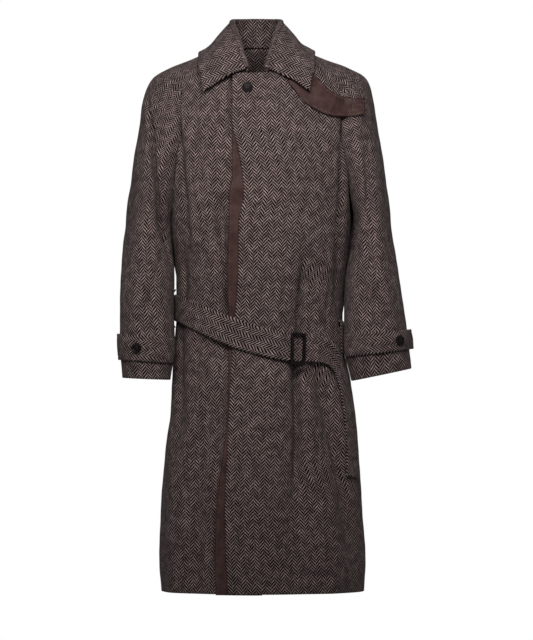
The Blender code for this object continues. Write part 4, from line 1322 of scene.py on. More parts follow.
@dataclass
class Sleeves:
    """The raglan sleeves, each a front and a back half joined over the crest."""

    body: BodyForm
    finishes: Finishes
    cloth: float = 0.0022
    columns: int = 104
    raglan_rows: int = 72
    arm_rows: int = 84
    half_gap: float = 0.0009
    # Smoothing about the underarm: rows it reaches, its strength, its passes, and the share held at the seam
    underarm_reach: float = 9.0
    settle: float = 0.5
    settle_passes: int = 60
    seam_hold: float = 0.12
    forms: dict[Side, SleeveForm] = field(default_factory=dict)
    faces: dict[str, Array] = field(default_factory=dict)

    def settled(self, points: Array, crest: int) -> Array:
        """Smooths the rows about the underarm, where the raglan part turns into the arm.

        Args:
            points: the grid of a half.
            crest: its column on the crest; the other edge stays on its seam.

        Returns:
            The smoothed grid.
        """
        row = np.arange(len(points))[:, None]
        share = np.linspace(0.0, 1.0, points.shape[1])[None]
        near = self.settle * hump(row - self.raglan_rows, self.underarm_reach)
        weight = (near * ease((share if crest else 1 - share) / self.seam_hold))[1:-1, :, None]
        for _ in range(self.settle_passes):
            points = points.copy()
            points[1:-1] += weight * ((points[:-2] + points[2:]) / 2 - points[1:-1])
        return points

    def half(self, side: Side, name: str, start: float) -> None:
        """Makes one half of a sleeve.

        Args:
            side: whose sleeve.
            name: which half.
            start: the share it starts at.
        """
        share = start + self.half_gap + (0.5 - 2 * self.half_gap) * gathered(self.columns, ends=0.5)
        raglan, arm = np.linspace(0.0, 1.0, self.raglan_rows), np.linspace(1.0, 2.0, self.arm_rows)
        rows = np.concatenate([raglan[:-1], arm])
        crest = -1 if name == "front" else 0
        points = self.settled(self.forms[side].points(share, rows), crest)
        facing = -side.value * grid_normals(points)
        points = drift(points, facing)
        across = run_length(points, 1)
        across = across - across[:, crest][:, None]
        along = np.repeat(run_length(points, 0)[:, crest][:, None], points.shape[1], axis=1)
        node = f"sleeve_{side.label}_{name}"
        seam = "last" if name == "front" else "first"
        grain = np.stack([across, along], axis=-1)
        cloth = Cloth(f"cloth_{node}", points, facing, self.cloth, grain, (seam,))
        piece = publish(cloth.build(self.finishes.tweed), "tweed", node)
        cloth.declare(Held.HUNG)
        self.faces[node] = points if side is Side.RIGHT else points[:, ::-1]

    def build(self) -> None:
        """Builds the four halves."""
        folds = {Side.LEFT: LEFT_SLEEVE_FOLDS, Side.RIGHT: RIGHT_SLEEVE_FOLDS}
        for side in Side:
            self.forms[side] = SleeveForm(self.body, side, folds[side])
            self.half(side, "front", 0.0)
            self.half(side, "back", 0.5)


@dataclass
class FlyPlacket:
    """The leather strip between the fronts that carries the concealed buttons."""

    form: BodyForm
    finishes: Finishes
    leather: float = 0.0016
    # How far its outer face stands off the body, and x of its hidden edge
    face: float = 0.0029
    inner_x: float = 0.008
    top_z: float = -0.050
    drop: float = 0.002
    rows: int = 190
    columns: int = 18
    stitch_inset: float = 0.0045
    # Places where the leather bulges or has kinked: height, half height and how far out
    kinks: tuple[tuple[float, float, float], ...] = (
        (-0.236, 0.018, 0.0032),
        (-0.290, 0.013, -0.0010),
    )

    def surface(self, angle: Array, z: Array) -> Array:
        """The placket's outer face."""
        out = sum(height * hump(z - place, half) for place, half, height in self.kinks)
        return self.form.surface(angle, z, self.face + out, (BODY_FOLDS, BODY_CREASES))

    def build(self) -> None:
        """Builds the strip and the stitching along its free edge."""
        z = np.linspace(BODY["z"][-1] - self.drop, self.top_z, self.rows)
        start = self.form.ring_angle(FLY_EDGE.read("placket", z), z)
        end = self.form.ring_angle(np.full_like(z, self.inner_x), z)
        angle = start[:, None] + (end - start)[:, None] * np.linspace(0.0, 1.0, self.columns)
        height = np.repeat(z[:, None], self.columns, axis=1)
        points = self.surface(angle, height)
        facing = grid_normals(points)
        across = run_length(points, 1)
        grain = np.stack([across, run_length(points, 0)], axis=-1)
        cloth = Cloth(
            "leather_fly_placket",
            points,
            facing,
            self.leather,
            grain,
            ("first",),
            seam_depth=0.0006,
            seam_width=0.0020,
        )
        piece = publish(cloth.build(self.finishes.leather), "leather", "fly_placket")
        place = self.stitch_inset / across[:, -1]
        share = np.linspace(0.0, 1.0, self.rows)
        line = sample(points, share, place), sample(facing, share, place)
        stitches = publish(Stitching().build("stitching_fly_placket", [line], self.finishes.thread), None)
        cloth.declare(Held.LAID)


@dataclass
class ShoulderStrap:
    """The leather strap that curves from under the collar over the left shoulder."""

    finishes: Finishes
    leather: float = 0.0016
    gap: float = 0.0018
    reach: float = 0.008
    rows: int = 110
    columns: int = 26
    coarse_size: tuple[int, int] = (15, 5)
    # The line of stitches: its place from the edge, with the depth and half width of its groove
    inset: float = 0.0042
    groove: float = 0.0008
    groove_width: float = 0.0016
    # Ridges where the leather has been folded: share along the strap, half width and height
    ridges: tuple[tuple[float, float, float], ...] = (
        (0.60, 0.020, 0.0011),
        (0.80, 0.014, 0.0012),
        (0.38, 0.05, 0.0007),
    )
    # The stitched rectangle near the end: shares along and across
    box: tuple[float, float, float, float] = (0.835, 0.95, 0.34, 0.62)
    # Points along a long line of stitches and along a short side
    line_points: int = 160
    side_points: int = 40
    stitching: Stitching = field(default_factory=lambda: Stitching(gap=0.0012, radius=0.0007))
    face: Array = field(default_factory=lambda: np.zeros((0, 0, 3)))

    def nearest(self, tree: BVHTree, x: float, z: float) -> float:
        """How near the front the panels come at x and z, within the reach to each side."""
        shifts = (-self.reach, 0.0, self.reach)
        hits = [tree.ray_cast(Vector((x + s, -1.0, z)), Vector((0, 1, 0)))[0] for s in shifts]
        return min(hit.y for hit in hits if hit is not None)

    def build(self, tree: BVHTree) -> None:
        """Builds the strap on the panels.

        Args:
            tree: the panels' outer faces.
        """
        steps, widths = self.coarse_size
        coarse = np.empty((steps, widths, 3))
        for i, step in enumerate(np.linspace(0.0, SHOULDER_STRAP["step"][-1], steps)):
            upper = np.array([float(SHOULDER_STRAP.read(f"upper_{a}", step)) for a in "xz"])
            lower = np.array([float(SHOULDER_STRAP.read(f"lower_{a}", step)) for a in "xz"])
            for j, across in enumerate(np.linspace(0.0, 1.0, widths)):
                x, z = lower + (upper - lower) * across
                coarse[i, j] = x, self.nearest(tree, x, z), z
        points = refine_grid(coarse, self.rows, self.columns)
        facing = front_normals(points)
        share = np.linspace(0.0, 1.0, self.rows)[:, None]
        rise = np.full((self.rows, 1), self.gap + self.leather)
        for place, width, height in self.ridges:
            rise = rise + height * hump(share - place, width)
        across = run_length(points, 1)
        near = np.minimum(across, across[:, -1:] - across)
        rise = rise - self.groove * hump(near - self.inset, self.groove_width)
        points = points + facing * rise[..., None]
        facing = front_normals(points)
        across, along = run_length(points, 1), run_length(points, 0)
        cloth = Cloth(
            "leather_shoulder_strap",
            points,
            facing,
            self.leather,
            np.stack([across, along], axis=-1),
            ("first", "last", "top"),
            seam_depth=0.0008,
        )
        piece = publish(cloth.build(self.finishes.leather), "leather", "shoulder_strap")
        even = np.linspace(0.0, 1.0 - self.inset / float(along[-1, 0]), self.line_points)
        width = np.interp(even, share[:, 0], across[:, -1])
        low, high = self.inset / width, 1 - self.inset / width
        end = np.linspace(low[-1], high[-1], self.side_points)
        a, b, c, d = self.box
        turn = np.array([(a, c), (b, c), (b, d), (a, d), (a, c)])
        sides = len(turn) - 1
        ticks = np.linspace(0.0, sides, sides * self.side_points + 1)
        box = [np.interp(ticks, np.arange(len(turn)), turn[:, k]) for k in (0, 1)]
        routes = [(even, low), (even, high), (np.full_like(end, even[-1]), end), (box[0], box[1])]
        lines = [(sample(points, r, c), sample(facing, r, c)) for r, c in routes]
        sewn = self.stitching.build("stitching_shoulder_strap", lines, self.finishes.thread)
        stitches = publish(sewn, None)
        cloth.declare(Held.LAID)
        self.face = points


@dataclass
class Collar:
    """The turned-down collar: up the stand, over the roll and down the fall to its points."""

    finishes: Finishes
    cloth: float = 0.0034
    panel_cloth: float = 0.0022
    centre_x: float = -0.003
    fold_radius: float = 0.0042
    half_ribs: int = 15
    gap: float = 0.0068
    # How far the points stand off, and how fast that dies away towards the back
    edge_lift: float = 0.0050
    lift_fall: float = 2.5
    foot_gap: float = 0.0032
    ribs: int = 190
    rib_points: int = 76
    edge_inset: float = 0.0065
    edge_groove: float = 0.0006
    groove_width: float = 0.0016
    # A rib's turns over the roll, its places down the fall, and how far the fall bows up and out
    roll_degrees: tuple[int, ...] = (180, 135, 90, 45, 0)
    fall_shares: tuple[float, ...] = (0.2, 0.4, 0.6, 0.8, 1.0)
    fall_bow: tuple[float, float] = (0.003, 0.001)
    # Share of its slope that the outward direction at the roll loses
    levelled: float = 0.8
    # The point of each rib, half way down the fall, that the grain follows round the neck
    grain_point: int = 58
    grain_reach: int = 8
    # Where the roll starts and ends along a rib, between the stand and the fall
    roll_points: tuple[int, int] = (14, 41)

    def neckline(self, edges: Sequence[Array]) -> tuple[Array, Array]:
        """The neck edge all round, from the front of the neck round by the wearer's left.

        Args:
            edges: the neck edges of the panels.

        Returns:
            Angles in degrees and points.
        """
        points = np.concatenate(edges)
        turn = np.degrees(np.arctan2(points[:, 0] - self.centre_x, -points[:, 1])) % 360.0
        order = np.argsort(turn)
        return turn[order], points[order]

    def clear(self, tree: BVHTree, point: Array, gap: float) -> Array:
        """A point moved out until it stands a gap off the panels below it."""
        nearest, normal, _, _ = tree.find_nearest(Vector(point))
        stand = (Vector(point) - nearest).dot(normal)
        return np.array(Vector(point) + normal * max(0.0, gap - stand))

    def coarse(self, turn: Array, edge: Array, tree: BVHTree) -> Array:
        """The collar's ribs.

        Args:
            turn: angles of the neck edge.
            edge: its points.
            tree: the outer faces below the collar.

        Returns:
            A grid, one line for each rib.
        """
        half = np.linspace(0.0, 1.0, self.half_ribs)
        shares = np.concatenate([half, half[-2::-1]])
        sides = np.concatenate([np.ones(self.half_ribs), -np.ones(self.half_ribs - 1)])
        rolls = np.stack([COLLAR.read(f"roll_{a}", shares) for a in "xyz"], axis=-1)
        tips = np.stack([COLLAR.read(f"edge_{a}", shares) for a in "xyz"], axis=-1)
        rolls[:, 0] *= sides
        tips[:, 0] *= sides
        ribs = []
        lifts = self.edge_lift * np.clip(1 - self.lift_fall * shares, 0.0, 1.0)
        for roll, tip, tangent, lift in zip(rolls, tips, unit(np.gradient(rolls, axis=0)), lifts):
            at = math.degrees(math.atan2(roll[0], -roll[1])) % 360.0
            foot = np.array([np.interp(at, turn, edge[:, a], period=360.0) for a in range(3)])
            roll[0], tip[0] = roll[0] + self.centre_x, tip[0] + self.centre_x
            outward = unit((tip - roll) - np.dot(tip - roll, tangent) * tangent)
            outward = unit(outward - np.array([0, 0, self.levelled * outward[2]]))
            outward = unit(outward - np.dot(outward, tangent) * tangent)
            upward = np.cross(outward, tangent)
            upward = upward if upward[2] > 0 else -upward
            level = unit(np.array([outward[0], outward[1], 0.0]))
            foot = foot - level * self.panel_cloth / 2 + np.array([0, 0, self.foot_gap])
            rib = [foot, foot * 0.5 + (roll - outward * self.fold_radius) * 0.5]
            for degrees in self.roll_degrees:
                bend = math.radians(degrees)
                rib.append(roll + self.fold_radius * (outward * math.cos(bend) + upward * math.sin(bend)))
            top = rib[-1]
            bow_up, bow_out = self.fall_bow
            for along in self.fall_shares:
                bow = math.sin(math.pi * along) * (np.array([0, 0, bow_up]) + level * bow_out)
                rib.append(self.clear(tree, top + (tip - top) * along + bow, self.gap + lift * along**3))
            ribs.append(rib)
        return np.array(ribs)

    def build(self, edges: Sequence[Array], tree: BVHTree) -> None:
        """Builds the collar.

        Args:
            edges: the neck edges of the panels.
            tree: the outer faces below the collar.
        """
        points = refine_grid(self.coarse(*self.neckline(edges), tree), self.ribs, self.rib_points)
        facing = grid_normals(points)
        middle = len(points) // 2
        if facing[middle, -1, 1] < 0:
            facing = -facing
        points = points + facing * self.cloth / 2
        across, along = run_length(points, 0), run_length(points, 1)
        rim = np.minimum(np.minimum(across, across[-1:] - across), along[:, -1:] - along)
        groove = self.edge_groove * hump(rim - self.edge_inset, self.groove_width)
        points = points - facing * groove[..., None]
        at, reach = self.grain_point, self.grain_reach
        round_neck = unit(np.gradient(points[:, at], axis=0))
        down = unit(points[:, at + reach] - points[:, at - reach])
        start, end = self.roll_points
        turned = ease((np.arange(self.rib_points) - start) / (end - start))[None]
        lean = np.sum(round_neck * down, axis=1)[:, None] * turned
        fall = along - along[:, [at]]
        level = across - across[middle]
        level = level + (level[:, [at]] - level) * turned
        grain = np.stack([level + fall * lean, fall * np.sqrt(1 - lean**2)], axis=-1)
        edges = ("bottom", "top", "last")
        cloth = Cloth("cloth_collar", points, facing, self.cloth, grain, edges, seam_depth=0.0009)
        piece = publish(cloth.build(self.finishes.tweed), "tweed", "collar")
        cloth.declare(Held.FOLDED)


@dataclass
class Belt:
    """The belt with its loops and its leather-covered buckle."""

    form: BodyForm
    finishes: Finishes
    width: float = 0.050
    cloth: float = 0.0036
    lying_gap: float = 0.0009
    gap: float = 0.0018
    columns: int = 22
    edge_inset: float = 0.0055
    edge_groove: float = 0.0005
    groove_width: float = 0.0015
    # Rows of the part round the waist and of the free end
    row_counts: tuple[int, int] = (300, 110)
    probe: float = 0.01
    loop_width: float = 0.012
    loop_height: float = 0.076
    loop_angle: dict[Side, float] = field(default_factory=lambda: {Side.LEFT: 71.0, Side.RIGHT: -94.0})
    loop_z: dict[Side, float] = field(default_factory=lambda: {Side.LEFT: -0.534, Side.RIGHT: -0.474})
    loop_cloth: float = 0.0016
    loop_size: tuple[int, int] = (61, 9)
    # Share of its height over which each end rises to the belt
    loop_rise: float = 0.11
    buckle_size: tuple[float, float] = (0.031, 0.062)
    buckle_bar: float = 0.0055
    buckle_corner: float = 0.0045
    buckle_place: tuple[float, float] = (0.075, -0.5535)
    buckle_tilt: float = 3.0
    buckle_stand: float = 0.0016
    # Shares of the bar's width: the frame's thickness and its rounding
    buckle_depth: float = 0.9
    buckle_round: float = 0.36
    # How far from the buckle the belt's slope is read, in degrees round the body and in metres
    buckle_reach: tuple[float, float] = (5.0, 0.026)

    def route(self) -> tuple[Array, Array, Array]:
        """Angles, heights and layers along the belt's middle."""
        waist, end = (np.linspace(0.0, t["step"][-1], n) for t, n in zip((BELT, BELT_END), self.row_counts))
        columns = ("angle", "z", "layer")
        return tuple(np.concatenate([BELT.read(c, waist)[:-1], BELT_END.read(c, end)]) for c in columns)

    def lay(self, angle: Array, z: Array, out: Array) -> tuple[Array, Array]:
        """Points that far out from the body, with their outward directions."""
        points = self.form.surface(angle, z, out)
        return points, unit(points - self.form.surface(angle, z, out - self.probe))

    def strip(self) -> None:
        """Builds the belt in one strip, its free end over the first lap."""
        middle_angle, middle_z, layer = self.route()
        point = self.form.surface(middle_angle, middle_z)
        along = np.gradient(point, axis=0)
        level = np.hypot(along[:, 0], along[:, 1]) * np.sign(np.gradient(middle_angle))
        slope = np.arctan2(along[:, 2], level)
        radius = np.hypot(point[:, 0], point[:, 1])
        across = gathered(self.columns, ends=0.6) - 0.5
        spread = across[None] * self.width
        angle = middle_angle[:, None] - np.degrees(spread * np.sin(slope)[:, None] / radius[:, None])
        z = middle_z[:, None] + spread * np.cos(slope)[:, None]
        x = self.form.ring(angle, z)[..., 0]
        lap = layer[:, None] * (self.cloth + self.lying_gap)
        out = self.form.belt_base(x, angle) + self.gap + lap + self.cloth
        rim = (0.5 - np.abs(across)) * self.width
        out = out - self.edge_groove * hump(rim - self.edge_inset, self.groove_width)
        points, facing = self.lay(angle, z, out)
        grain = np.stack([spread + 0.0 * z, run_length(points, 0)], axis=-1)
        grain[..., 1] = grain[:, self.columns // 2, 1][:, None]
        edges = ("first", "last", "top")
        cloth = Cloth(
            "cloth_belt", points, facing, self.cloth, grain, edges, seam_depth=0.0009, seam_width=0.0020
        )
        piece = publish(cloth.build(self.finishes.tweed), "tweed", "belt")
        cloth.declare(Held.LAID)

    def loop(self, side: Side) -> None:
        """Builds the belt loop of a side."""
        rows, columns = self.loop_size
        along = np.linspace(-0.5, 0.5, rows)
        centre, middle = self.loop_angle[side], self.loop_z[side]
        arc = self.form.surface(centre + np.array([-0.5, 0.5]), np.full(2, middle))
        degree = np.linalg.norm(np.diff(arc, axis=0))
        spread = self.loop_width / degree * (gathered(columns, ends=0.5) - 0.5)
        bridge = (self.cloth + self.lying_gap) * ease((0.5 - np.abs(along)) / self.loop_rise)
        angle, z = np.meshgrid(centre + spread, middle + self.loop_height * along)
        out = self.gap + bridge[:, None] + self.loop_cloth + 0.0 * z
        points, facing = self.lay(angle, z, out)
        grain = np.stack([run_length(points, 1), run_length(points, 0)], axis=-1)
        node = f"belt_loop_{side.label}"
        cloth = Cloth(
            f"cloth_{node}",
            points,
            facing,
            self.loop_cloth,
            grain,
            ("first", "last"),
            seam_depth=0.0005,
            seam_width=0.0016,
        )
        piece = publish(cloth.build(self.finishes.tweed), "tweed", node)
        cloth.declare(Held.LAID)

    def buckle(self) -> None:
        """Models the covered frame and lays it square to the belt's face."""
        x, z = self.buckle_place
        width, height = self.buckle_size
        start_primitive()
        bpy.ops.mesh.primitive_plane_add(size=1.0)
        made = bpy.context.object
        bpy.ops.object.mode_set(mode="EDIT")
        bpy.ops.mesh.select_all(action="SELECT")
        bpy.ops.transform.resize(value=(width, height, 1.0))
        bpy.ops.mesh.bevel(offset=self.buckle_corner, segments=5, affect="VERTICES")
        bpy.ops.mesh.inset(thickness=self.buckle_bar)
        bpy.ops.mesh.delete(type="FACE")
        bpy.ops.object.mode_set(mode="OBJECT")
        solid = made.modifiers.new("thickness", "SOLIDIFY")
        solid.thickness, solid.offset = self.buckle_bar * self.buckle_depth, 0.0
        bpy.ops.object.modifier_apply(modifier=solid.name)
        rounded = made.modifiers.new("rounded", "BEVEL")
        rounded.width, rounded.segments = self.buckle_bar * self.buckle_round, 5
        rounded.limit_method, rounded.angle_limit = "ANGLE", math.radians(50)
        bpy.ops.object.modifier_apply(modifier=rounded.name)
        bpy.ops.object.shade_smooth()
        angle = float(self.form.ring_angle(np.array(x), np.array(z)))
        turn, rise = self.buckle_reach
        angles, heights = angle + np.array([-turn, turn, 0.0, 0.0]), z + np.array([0.0, 0.0, -rise, rise])
        stack = self.gap + 2 * (self.cloth + self.lying_gap) + self.buckle_bar / 2 + self.buckle_stand
        base = self.form.belt_base(self.form.ring(angles, heights)[:, 0], angles)
        near = self.form.surface(angles, heights, stack + base)
        right, up = unit(near[1] - near[0]), unit(near[3] - near[2])
        facing = unit(np.cross(right, up))
        up = np.cross(facing, right)
        tilt = Matrix.Rotation(math.radians(-self.buckle_tilt), 3, "Z")
        place_mesh(made, near.mean(axis=0), Matrix((right, up, facing)).transposed() @ tilt)
        made.name = "covered_buckle"
        made.data.materials.append(self.finishes.cover)
        publish(made, "buckle_leather", "buckle")

    def build(self) -> None:
        """Builds the belt, its loops and its buckle."""
        self.strip()
        for side in Side:
            self.loop(side)
        self.buckle()


@dataclass
class CuffStraps:
    """The straps round the cuffs, their pointed ends standing off the sleeves."""

    sleeves: Sleeves
    finishes: Finishes
    width: float = 0.040
    cloth: float = 0.0030
    gap: float = 0.0016
    # Shares round the sleeve where the strap starts and leaves it, and how pointed its end is
    start: float = 0.05
    leave: float = 0.49
    point: float = 0.5
    bow: dict[Side, float] = field(default_factory=lambda: {Side.LEFT: 0.004, Side.RIGHT: 0.001})
    arm_length: float = 0.315
    row: dict[Side, float] = field(default_factory=lambda: {Side.LEFT: 1.80, Side.RIGHT: 1.85})
    end: dict[Side, float] = field(default_factory=lambda: {Side.LEFT: 0.016, Side.RIGHT: 0.005})
    button_column: dict[Side, int] = field(default_factory=lambda: {Side.LEFT: 10, Side.RIGHT: 8})
    # Points across and along the lying part, steps of the free end, and the finished grid
    coarse_size: tuple[int, int] = (5, 15)
    tail_steps: int = 4
    fine_size: tuple[int, int] = (21, 110)
    probe: float = 0.004
    edge_inset: float = 0.0055
    edge_groove: float = 0.0005
    groove_width: float = 0.0015
    buttons: dict[Side, tuple[Array, Array]] = field(default_factory=dict)

    def strap(self, side: Side) -> None:
        """Builds the strap of a side and notes where its button sits."""
        form = self.sleeves.forms[side]
        widths, lengths = self.coarse_size
        share = np.linspace(self.start, self.leave, lengths)
        half = self.width / 2 / self.arm_length
        rows = self.row[side] + np.linspace(-half, half, widths)
        lying = form.points(share, rows, folded=False)
        step = self.probe
        ahead, behind = (form.points(share + s, rows, folded=False) for s in (step, -step))
        below, above = (form.points(share, rows + s, folded=False) for s in (step, -step))
        facing = -side.value * unit(np.cross(ahead - behind, below - above))
        lying = lying + facing * (self.gap + self.cloth)
        leave = unit(lying[:, -1] - lying[:, -2])
        across = np.linspace(-1.0, 1.0, widths)
        tail = []
        for d in np.linspace(1 / self.tail_steps, 1.0, self.tail_steps):
            reach = self.end[side] * d * (1 - self.point * np.abs(across) * d)
            tail.append(lying[:, -1] + leave * reach[:, None] + facing[:, -1] * (self.bow[side] * d * d))
        coarse = np.concatenate([lying, np.stack(tail, axis=1)], axis=1)
        facing = np.concatenate([facing, np.repeat(facing[:, -1:], self.tail_steps, axis=1)], axis=1)
        column = self.button_column[side]
        self.buttons[side] = coarse[widths // 2, column], facing[widths // 2, column]
        points, facing = refine_grid(coarse, *self.fine_size), unit(refine_grid(facing, *self.fine_size))
        grain = np.stack([run_length(points, 0), run_length(points, 1)], axis=-1)
        rim = np.minimum(grain[..., 0], grain[-1:, :, 0] - grain[..., 0])
        groove = self.edge_groove * hump(rim - self.edge_inset, self.groove_width)
        points = points - facing * groove[..., None]
        node = f"cuff_strap_{side.label}"
        edges = ("bottom", "top", "first", "last")
        cloth = Cloth(
            f"cloth_{node}", points, facing, self.cloth, grain, edges, seam_depth=0.0008, seam_width=0.0020
        )
        piece = publish(cloth.build(self.finishes.tweed), "tweed", node)
        cloth.declare(Held.LAID)

    def build(self) -> None:
        """Builds both straps."""
        for side in Side:
            self.strap(side)


@dataclass
class HornButtons:
    """Turned horn buttons with a rim and four holes, sewn on with thread."""

    finishes: Finishes
    radius: float = 0.0102
    thickness: float = 0.0032
    # Width and thickness of a fly button as shares of the others'
    fly_scale: tuple[float, float] = (0.0090 / 0.0102, 0.0026 / 0.0032)
    gap: float = 0.0006
    hole: float = 0.0009
    hole_place: float = 0.0020
    thread: float = 0.00055
    sides: int = 56
    hole_sides: int = 16
    # Shares of the radius: the rim, the slope inside it and the flat of the dish
    rim: float = 0.20
    slope: float = 0.12
    flat: float = 0.25
    # Shares of the thickness: the dish, its middle, the rounding and where the thread lies
    dish: float = 0.38
    hollow: float = 0.04
    rounding: float = 0.2
    thread_face: float = 0.58
    # How far the thread's ends are sunk, its handles stand up, and these flare out as a share
    thread_sink: float = 0.0006
    thread_rise: float = 0.0012
    thread_flare: float = 1.1
    # Edges sharper than this are rounded, and flatter ones are shaded smooth, in degrees
    sharp: float = 25.0
    smooth: float = 40.0
    # x and z of the buttons on the fronts
    top_place: tuple[float, float] = (-0.0206, -0.0366)
    fly_places: tuple[tuple[float, float], ...] = ((-0.022, -0.168), (-0.029, -0.298), (-0.026, -0.428))

    def disc(self) -> bpy.types.Object:
        """Models one button at the origin, its back at height 0.

        Returns:
            The button.
        """
        start_primitive()
        bpy.ops.mesh.primitive_cylinder_add(
            vertices=self.sides,
            radius=self.radius,
            depth=self.thickness,
            location=(0, 0, self.thickness / 2),
        )
        made = bpy.context.object
        bpy.ops.object.transform_apply(location=True, rotation=True, scale=True)
        bpy.ops.object.mode_set(mode="EDIT")
        bpy.ops.mesh.select_mode(type="FACE")
        bpy.ops.mesh.select_all(action="DESELECT")
        bpy.ops.object.mode_set(mode="OBJECT")
        # The top face alone is dished
        for face in made.data.polygons:
            face.select = face.normal.z > 0.9
        bpy.ops.object.mode_set(mode="EDIT")
        bpy.ops.mesh.inset(thickness=self.radius * self.rim)
        bpy.ops.mesh.inset(thickness=self.radius * self.slope, depth=-self.thickness * self.dish)
        bpy.ops.mesh.inset(thickness=self.radius * self.flat, depth=-self.thickness * self.hollow)
        bpy.ops.mesh.select_mode(type="EDGE")
        bpy.ops.mesh.select_all(action="DESELECT")
        bpy.ops.mesh.edges_select_sharp(sharpness=math.radians(self.sharp))
        bpy.ops.mesh.bevel(offset=self.thickness * self.rounding, segments=3, affect="EDGES")
        bpy.ops.object.mode_set(mode="OBJECT")
        start_primitive()
        drills = []
        for sx, sy in ((1, 1), (1, -1), (-1, -1), (-1, 1)):
            place = (sx * self.hole_place, sy * self.hole_place, self.thickness / 2)
            bpy.ops.mesh.primitive_cylinder_add(
                vertices=self.hole_sides, radius=self.hole, depth=4 * self.thickness, location=place
            )
            drills.append(bpy.context.object)
        for drill in drills:
            drill.select_set(True)
        bpy.ops.object.join()
        drill = bpy.context.object
        start_primitive()
        bpy.context.view_layer.objects.active = made
        cut = made.modifiers.new("holes", "BOOLEAN")
        cut.object, cut.operation, cut.solver = drill, "DIFFERENCE", "EXACT"
        bpy.ops.object.modifier_apply(modifier=cut.name)
        bpy.data.objects.remove(drill)
        made.select_set(True)
        bpy.ops.object.shade_smooth_by_angle(angle=math.radians(self.smooth))
        made.data.materials.clear()
        made.data.materials.append(self.finishes.horn)
        return made

    def stitches(self) -> bpy.types.Object:
        """Models the two bars of thread across the holes.

        Returns:
            The thread.
        """
        start_primitive()
        bars = []
        face = self.thickness * self.thread_face
        for sy in (1, -1):
            bpy.ops.curve.primitive_bezier_curve_add()
            bar = bpy.context.object
            ends = bar.data.splines[0].bezier_points
            for knot, sx in zip(ends, (-1, 1)):
                x, y = sx * self.hole_place, sy * self.hole_place
                knot.co = (x, y, face - self.thread_sink)
                knot.handle_left = (x * self.thread_flare, y, face + self.thread_rise)
                knot.handle_right = knot.handle_left
            bar.data.bevel_depth, bar.data.bevel_resolution = self.thread, 2
            bar.data.resolution_u, bar.data.use_fill_caps = 8, True
            bars.append(bar)
        for bar in bars:
            bar.select_set(True)
        bpy.ops.object.convert(target="MESH")
        bpy.ops.object.join()
        made = bpy.context.object
        bpy.ops.object.shade_smooth()
        made.data.materials.clear()
        made.data.materials.append(self.finishes.thread)
        return made

    def build(self, places: dict[str, tuple[Array, Array, bool]]) -> None:
        """Copies the button and its thread to their places.

        Args:
            places: for each node, the cloth's point and facing direction, and whether it is a fly button.
        """
        disc, bars = self.disc(), self.stitches()
        for node, (point, facing, fly) in places.items():
            wide, thick = self.fly_scale if fly else (1.0, 1.0)
            scale = Matrix.Diagonal((wide, wide, thick))
            turned = Vector((0, 0, 1)).rotation_difference(Vector(facing)).to_matrix() @ scale
            for template, name, slot, nodes in (
                (disc, f"horn_{node}", "horn", (node,)),
                (bars, f"thread_{node}", None, ()),
            ):
                copy = bpy.data.objects.new(name, template.data.copy())
                bpy.context.scene.collection.objects.link(copy)
                place_mesh(copy, point + facing * self.gap, turned)
                publish(copy, slot, *nodes)
        bpy.data.objects.remove(disc)
        bpy.data.objects.remove(bars)


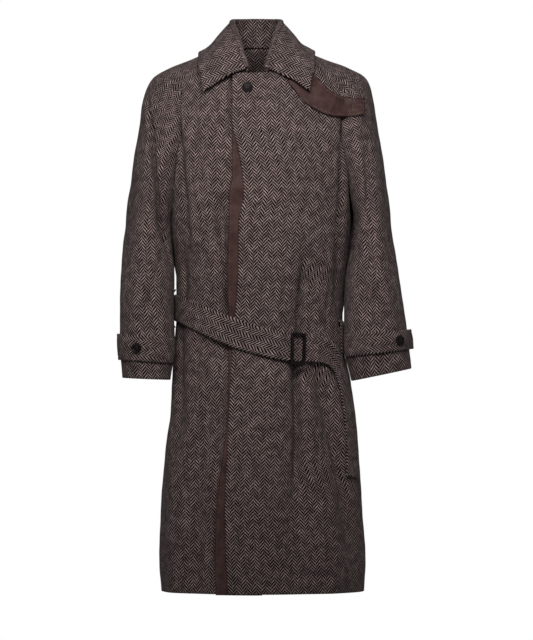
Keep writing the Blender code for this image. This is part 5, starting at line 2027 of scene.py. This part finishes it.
@dataclass
class Studio:
    """A pale floor, soft light and the camera."""

    floor_z: float = -1.60
    floor_size: float = 7.0
    floor_cells: int = 20
    floor_power: float = 220.0
    floor_light_z: float = 2.5
    camera_place: tuple[float, float, float] = (0.017, -12.0, -0.497)
    frame_height: float = 1.278
    # Share of the backdrop's light that reaches the coat
    sky: float = 0.14
    # Spread of a light in degrees, and its side
    spread: float = 46.0
    light_size: float = 0.6
    # Name, power and place of each light, and the height on the coat's middle that it is aimed at
    lights: tuple[tuple[str, float, tuple[float, float, float], float], ...] = (
        ("key_light", 1.75, (-0.5, -2.2, 1.1), -0.26),
        ("second_light", 1.55, (0.5, -2.2, 1.1), -0.26),
        ("back_light", 2.0, (0.2, 2.4, 0.50), -0.45),
    )

    def add_light(self, name: str, power: float, size: float, place: Sequence[float]) -> bpy.types.Object:
        """Adds a square light that faces down.

        Args:
            name: its name.
            power: its power in watts.
            size: its side.
            place: where it hangs.

        Returns:
            The light.
        """
        data = bpy.data.lights.new(name, "AREA")
        data.energy, data.size = power, size
        made = bpy.data.objects.new(name, data)
        made.location = place
        bpy.context.scene.collection.objects.link(made)
        return made

    def light_coat(self, name: str, power: float, place: tuple[float, float, float], aim: float) -> None:
        """Adds a soft light that faces the coat's middle at a height."""
        made = self.add_light(name, power, self.light_size, place)
        made.data.spread = math.radians(self.spread)
        ahead = Vector((0.0, 0.0, aim)) - made.location
        made.rotation_euler = ahead.to_track_quat("-Z", "Y").to_euler()

    def light_floor(self, floor: bpy.types.Object) -> None:
        """Lights the floor on its own, so that it stays pale and sends no light to the coat."""
        place = (0.0, 0.0, self.floor_light_z)
        made = self.add_light("floor_light", self.floor_power, self.floor_size, place)
        lit = bpy.data.collections.new("lit_floor")
        lit.objects.link(floor)
        made.light_linking.receiver_collection = lit
        floor.visible_diffuse = False

    def build(self) -> None:
        """Builds the floor, the lights and the camera."""
        start_primitive()
        bpy.ops.mesh.primitive_grid_add(
            x_subdivisions=self.floor_cells,
            y_subdivisions=self.floor_cells,
            size=self.floor_size,
            location=(0.0, 0.0, self.floor_z),
        )
        floor = bpy.context.object
        floor.name = "floor"
        floor.data.materials.append(PaleFloor().make())
        scene = bpy.context.scene
        world = bpy.data.worlds.new("soft_white_room")
        world.use_nodes = True
        # The white backdrop is lit on its own, and sends only part of its light to the coat
        path = add_node(world.node_tree, "LightPath")
        strength = add_node(
            world.node_tree,
            "MapRange",
            {"Value": path.outputs["Is Camera Ray"], "To Min": self.sky, "To Max": 1.0},
        )
        backdrop = world.node_tree.nodes["Background"]
        backdrop.inputs["Color"].default_value = (1.0, 1.0, 1.0, 1.0)
        world.node_tree.links.new(strength.outputs[0], backdrop.inputs["Strength"])
        scene.world = world
        scene.view_settings.view_transform = "Standard"
        for light in self.lights:
            self.light_coat(*light)
        self.light_floor(floor)
        data = bpy.data.cameras.new("camera")
        data.lens = data.sensor_width * -self.camera_place[1] / self.frame_height
        camera = bpy.data.objects.new("camera", data)
        camera.location = self.camera_place
        camera.rotation_euler = (math.pi / 2, 0.0, 0.0)
        scene.collection.objects.link(camera)
        scene.camera = camera


def main() -> None:
    """Builds the coat's pieces in order and sets up the studio."""
    logging.basicConfig(level=logging.INFO, format="%(message)s")
    finishes = Finishes()
    form = BodyForm()
    panels = BodyPanels(form, finishes)
    panels.build()
    sleeves = Sleeves(form, finishes)
    sleeves.build()
    placket = FlyPlacket(form, finishes)
    placket.build()
    outer = [*panels.faces.values(), *sleeves.faces.values()]
    strap = ShoulderStrap(finishes)
    strap.build(tree_of(outer))
    necks = [face[-1] for face in panels.faces.values()] + [face[0] for face in sleeves.faces.values()]
    Collar(finishes).build(necks, tree_of([*outer, strap.face[:, ::-1]]))
    Belt(form, finishes).build()
    cuffs = CuffStraps(sleeves, finishes)
    cuffs.build()
    places = {f"button_cuff_{side.label}": (*cuffs.buttons[side], False) for side in Side}
    buttons = HornButtons(finishes)
    places["button_top"] = (*facing_point(form, form.outer_front, *buttons.top_place), False)
    for number, place in enumerate(buttons.fly_places, 1):
        places[f"button_fly_{number}"] = (*facing_point(form, placket.surface, *place), True)
    buttons.build(places)
    Studio().build()


if __name__ == "__main__":
    main()
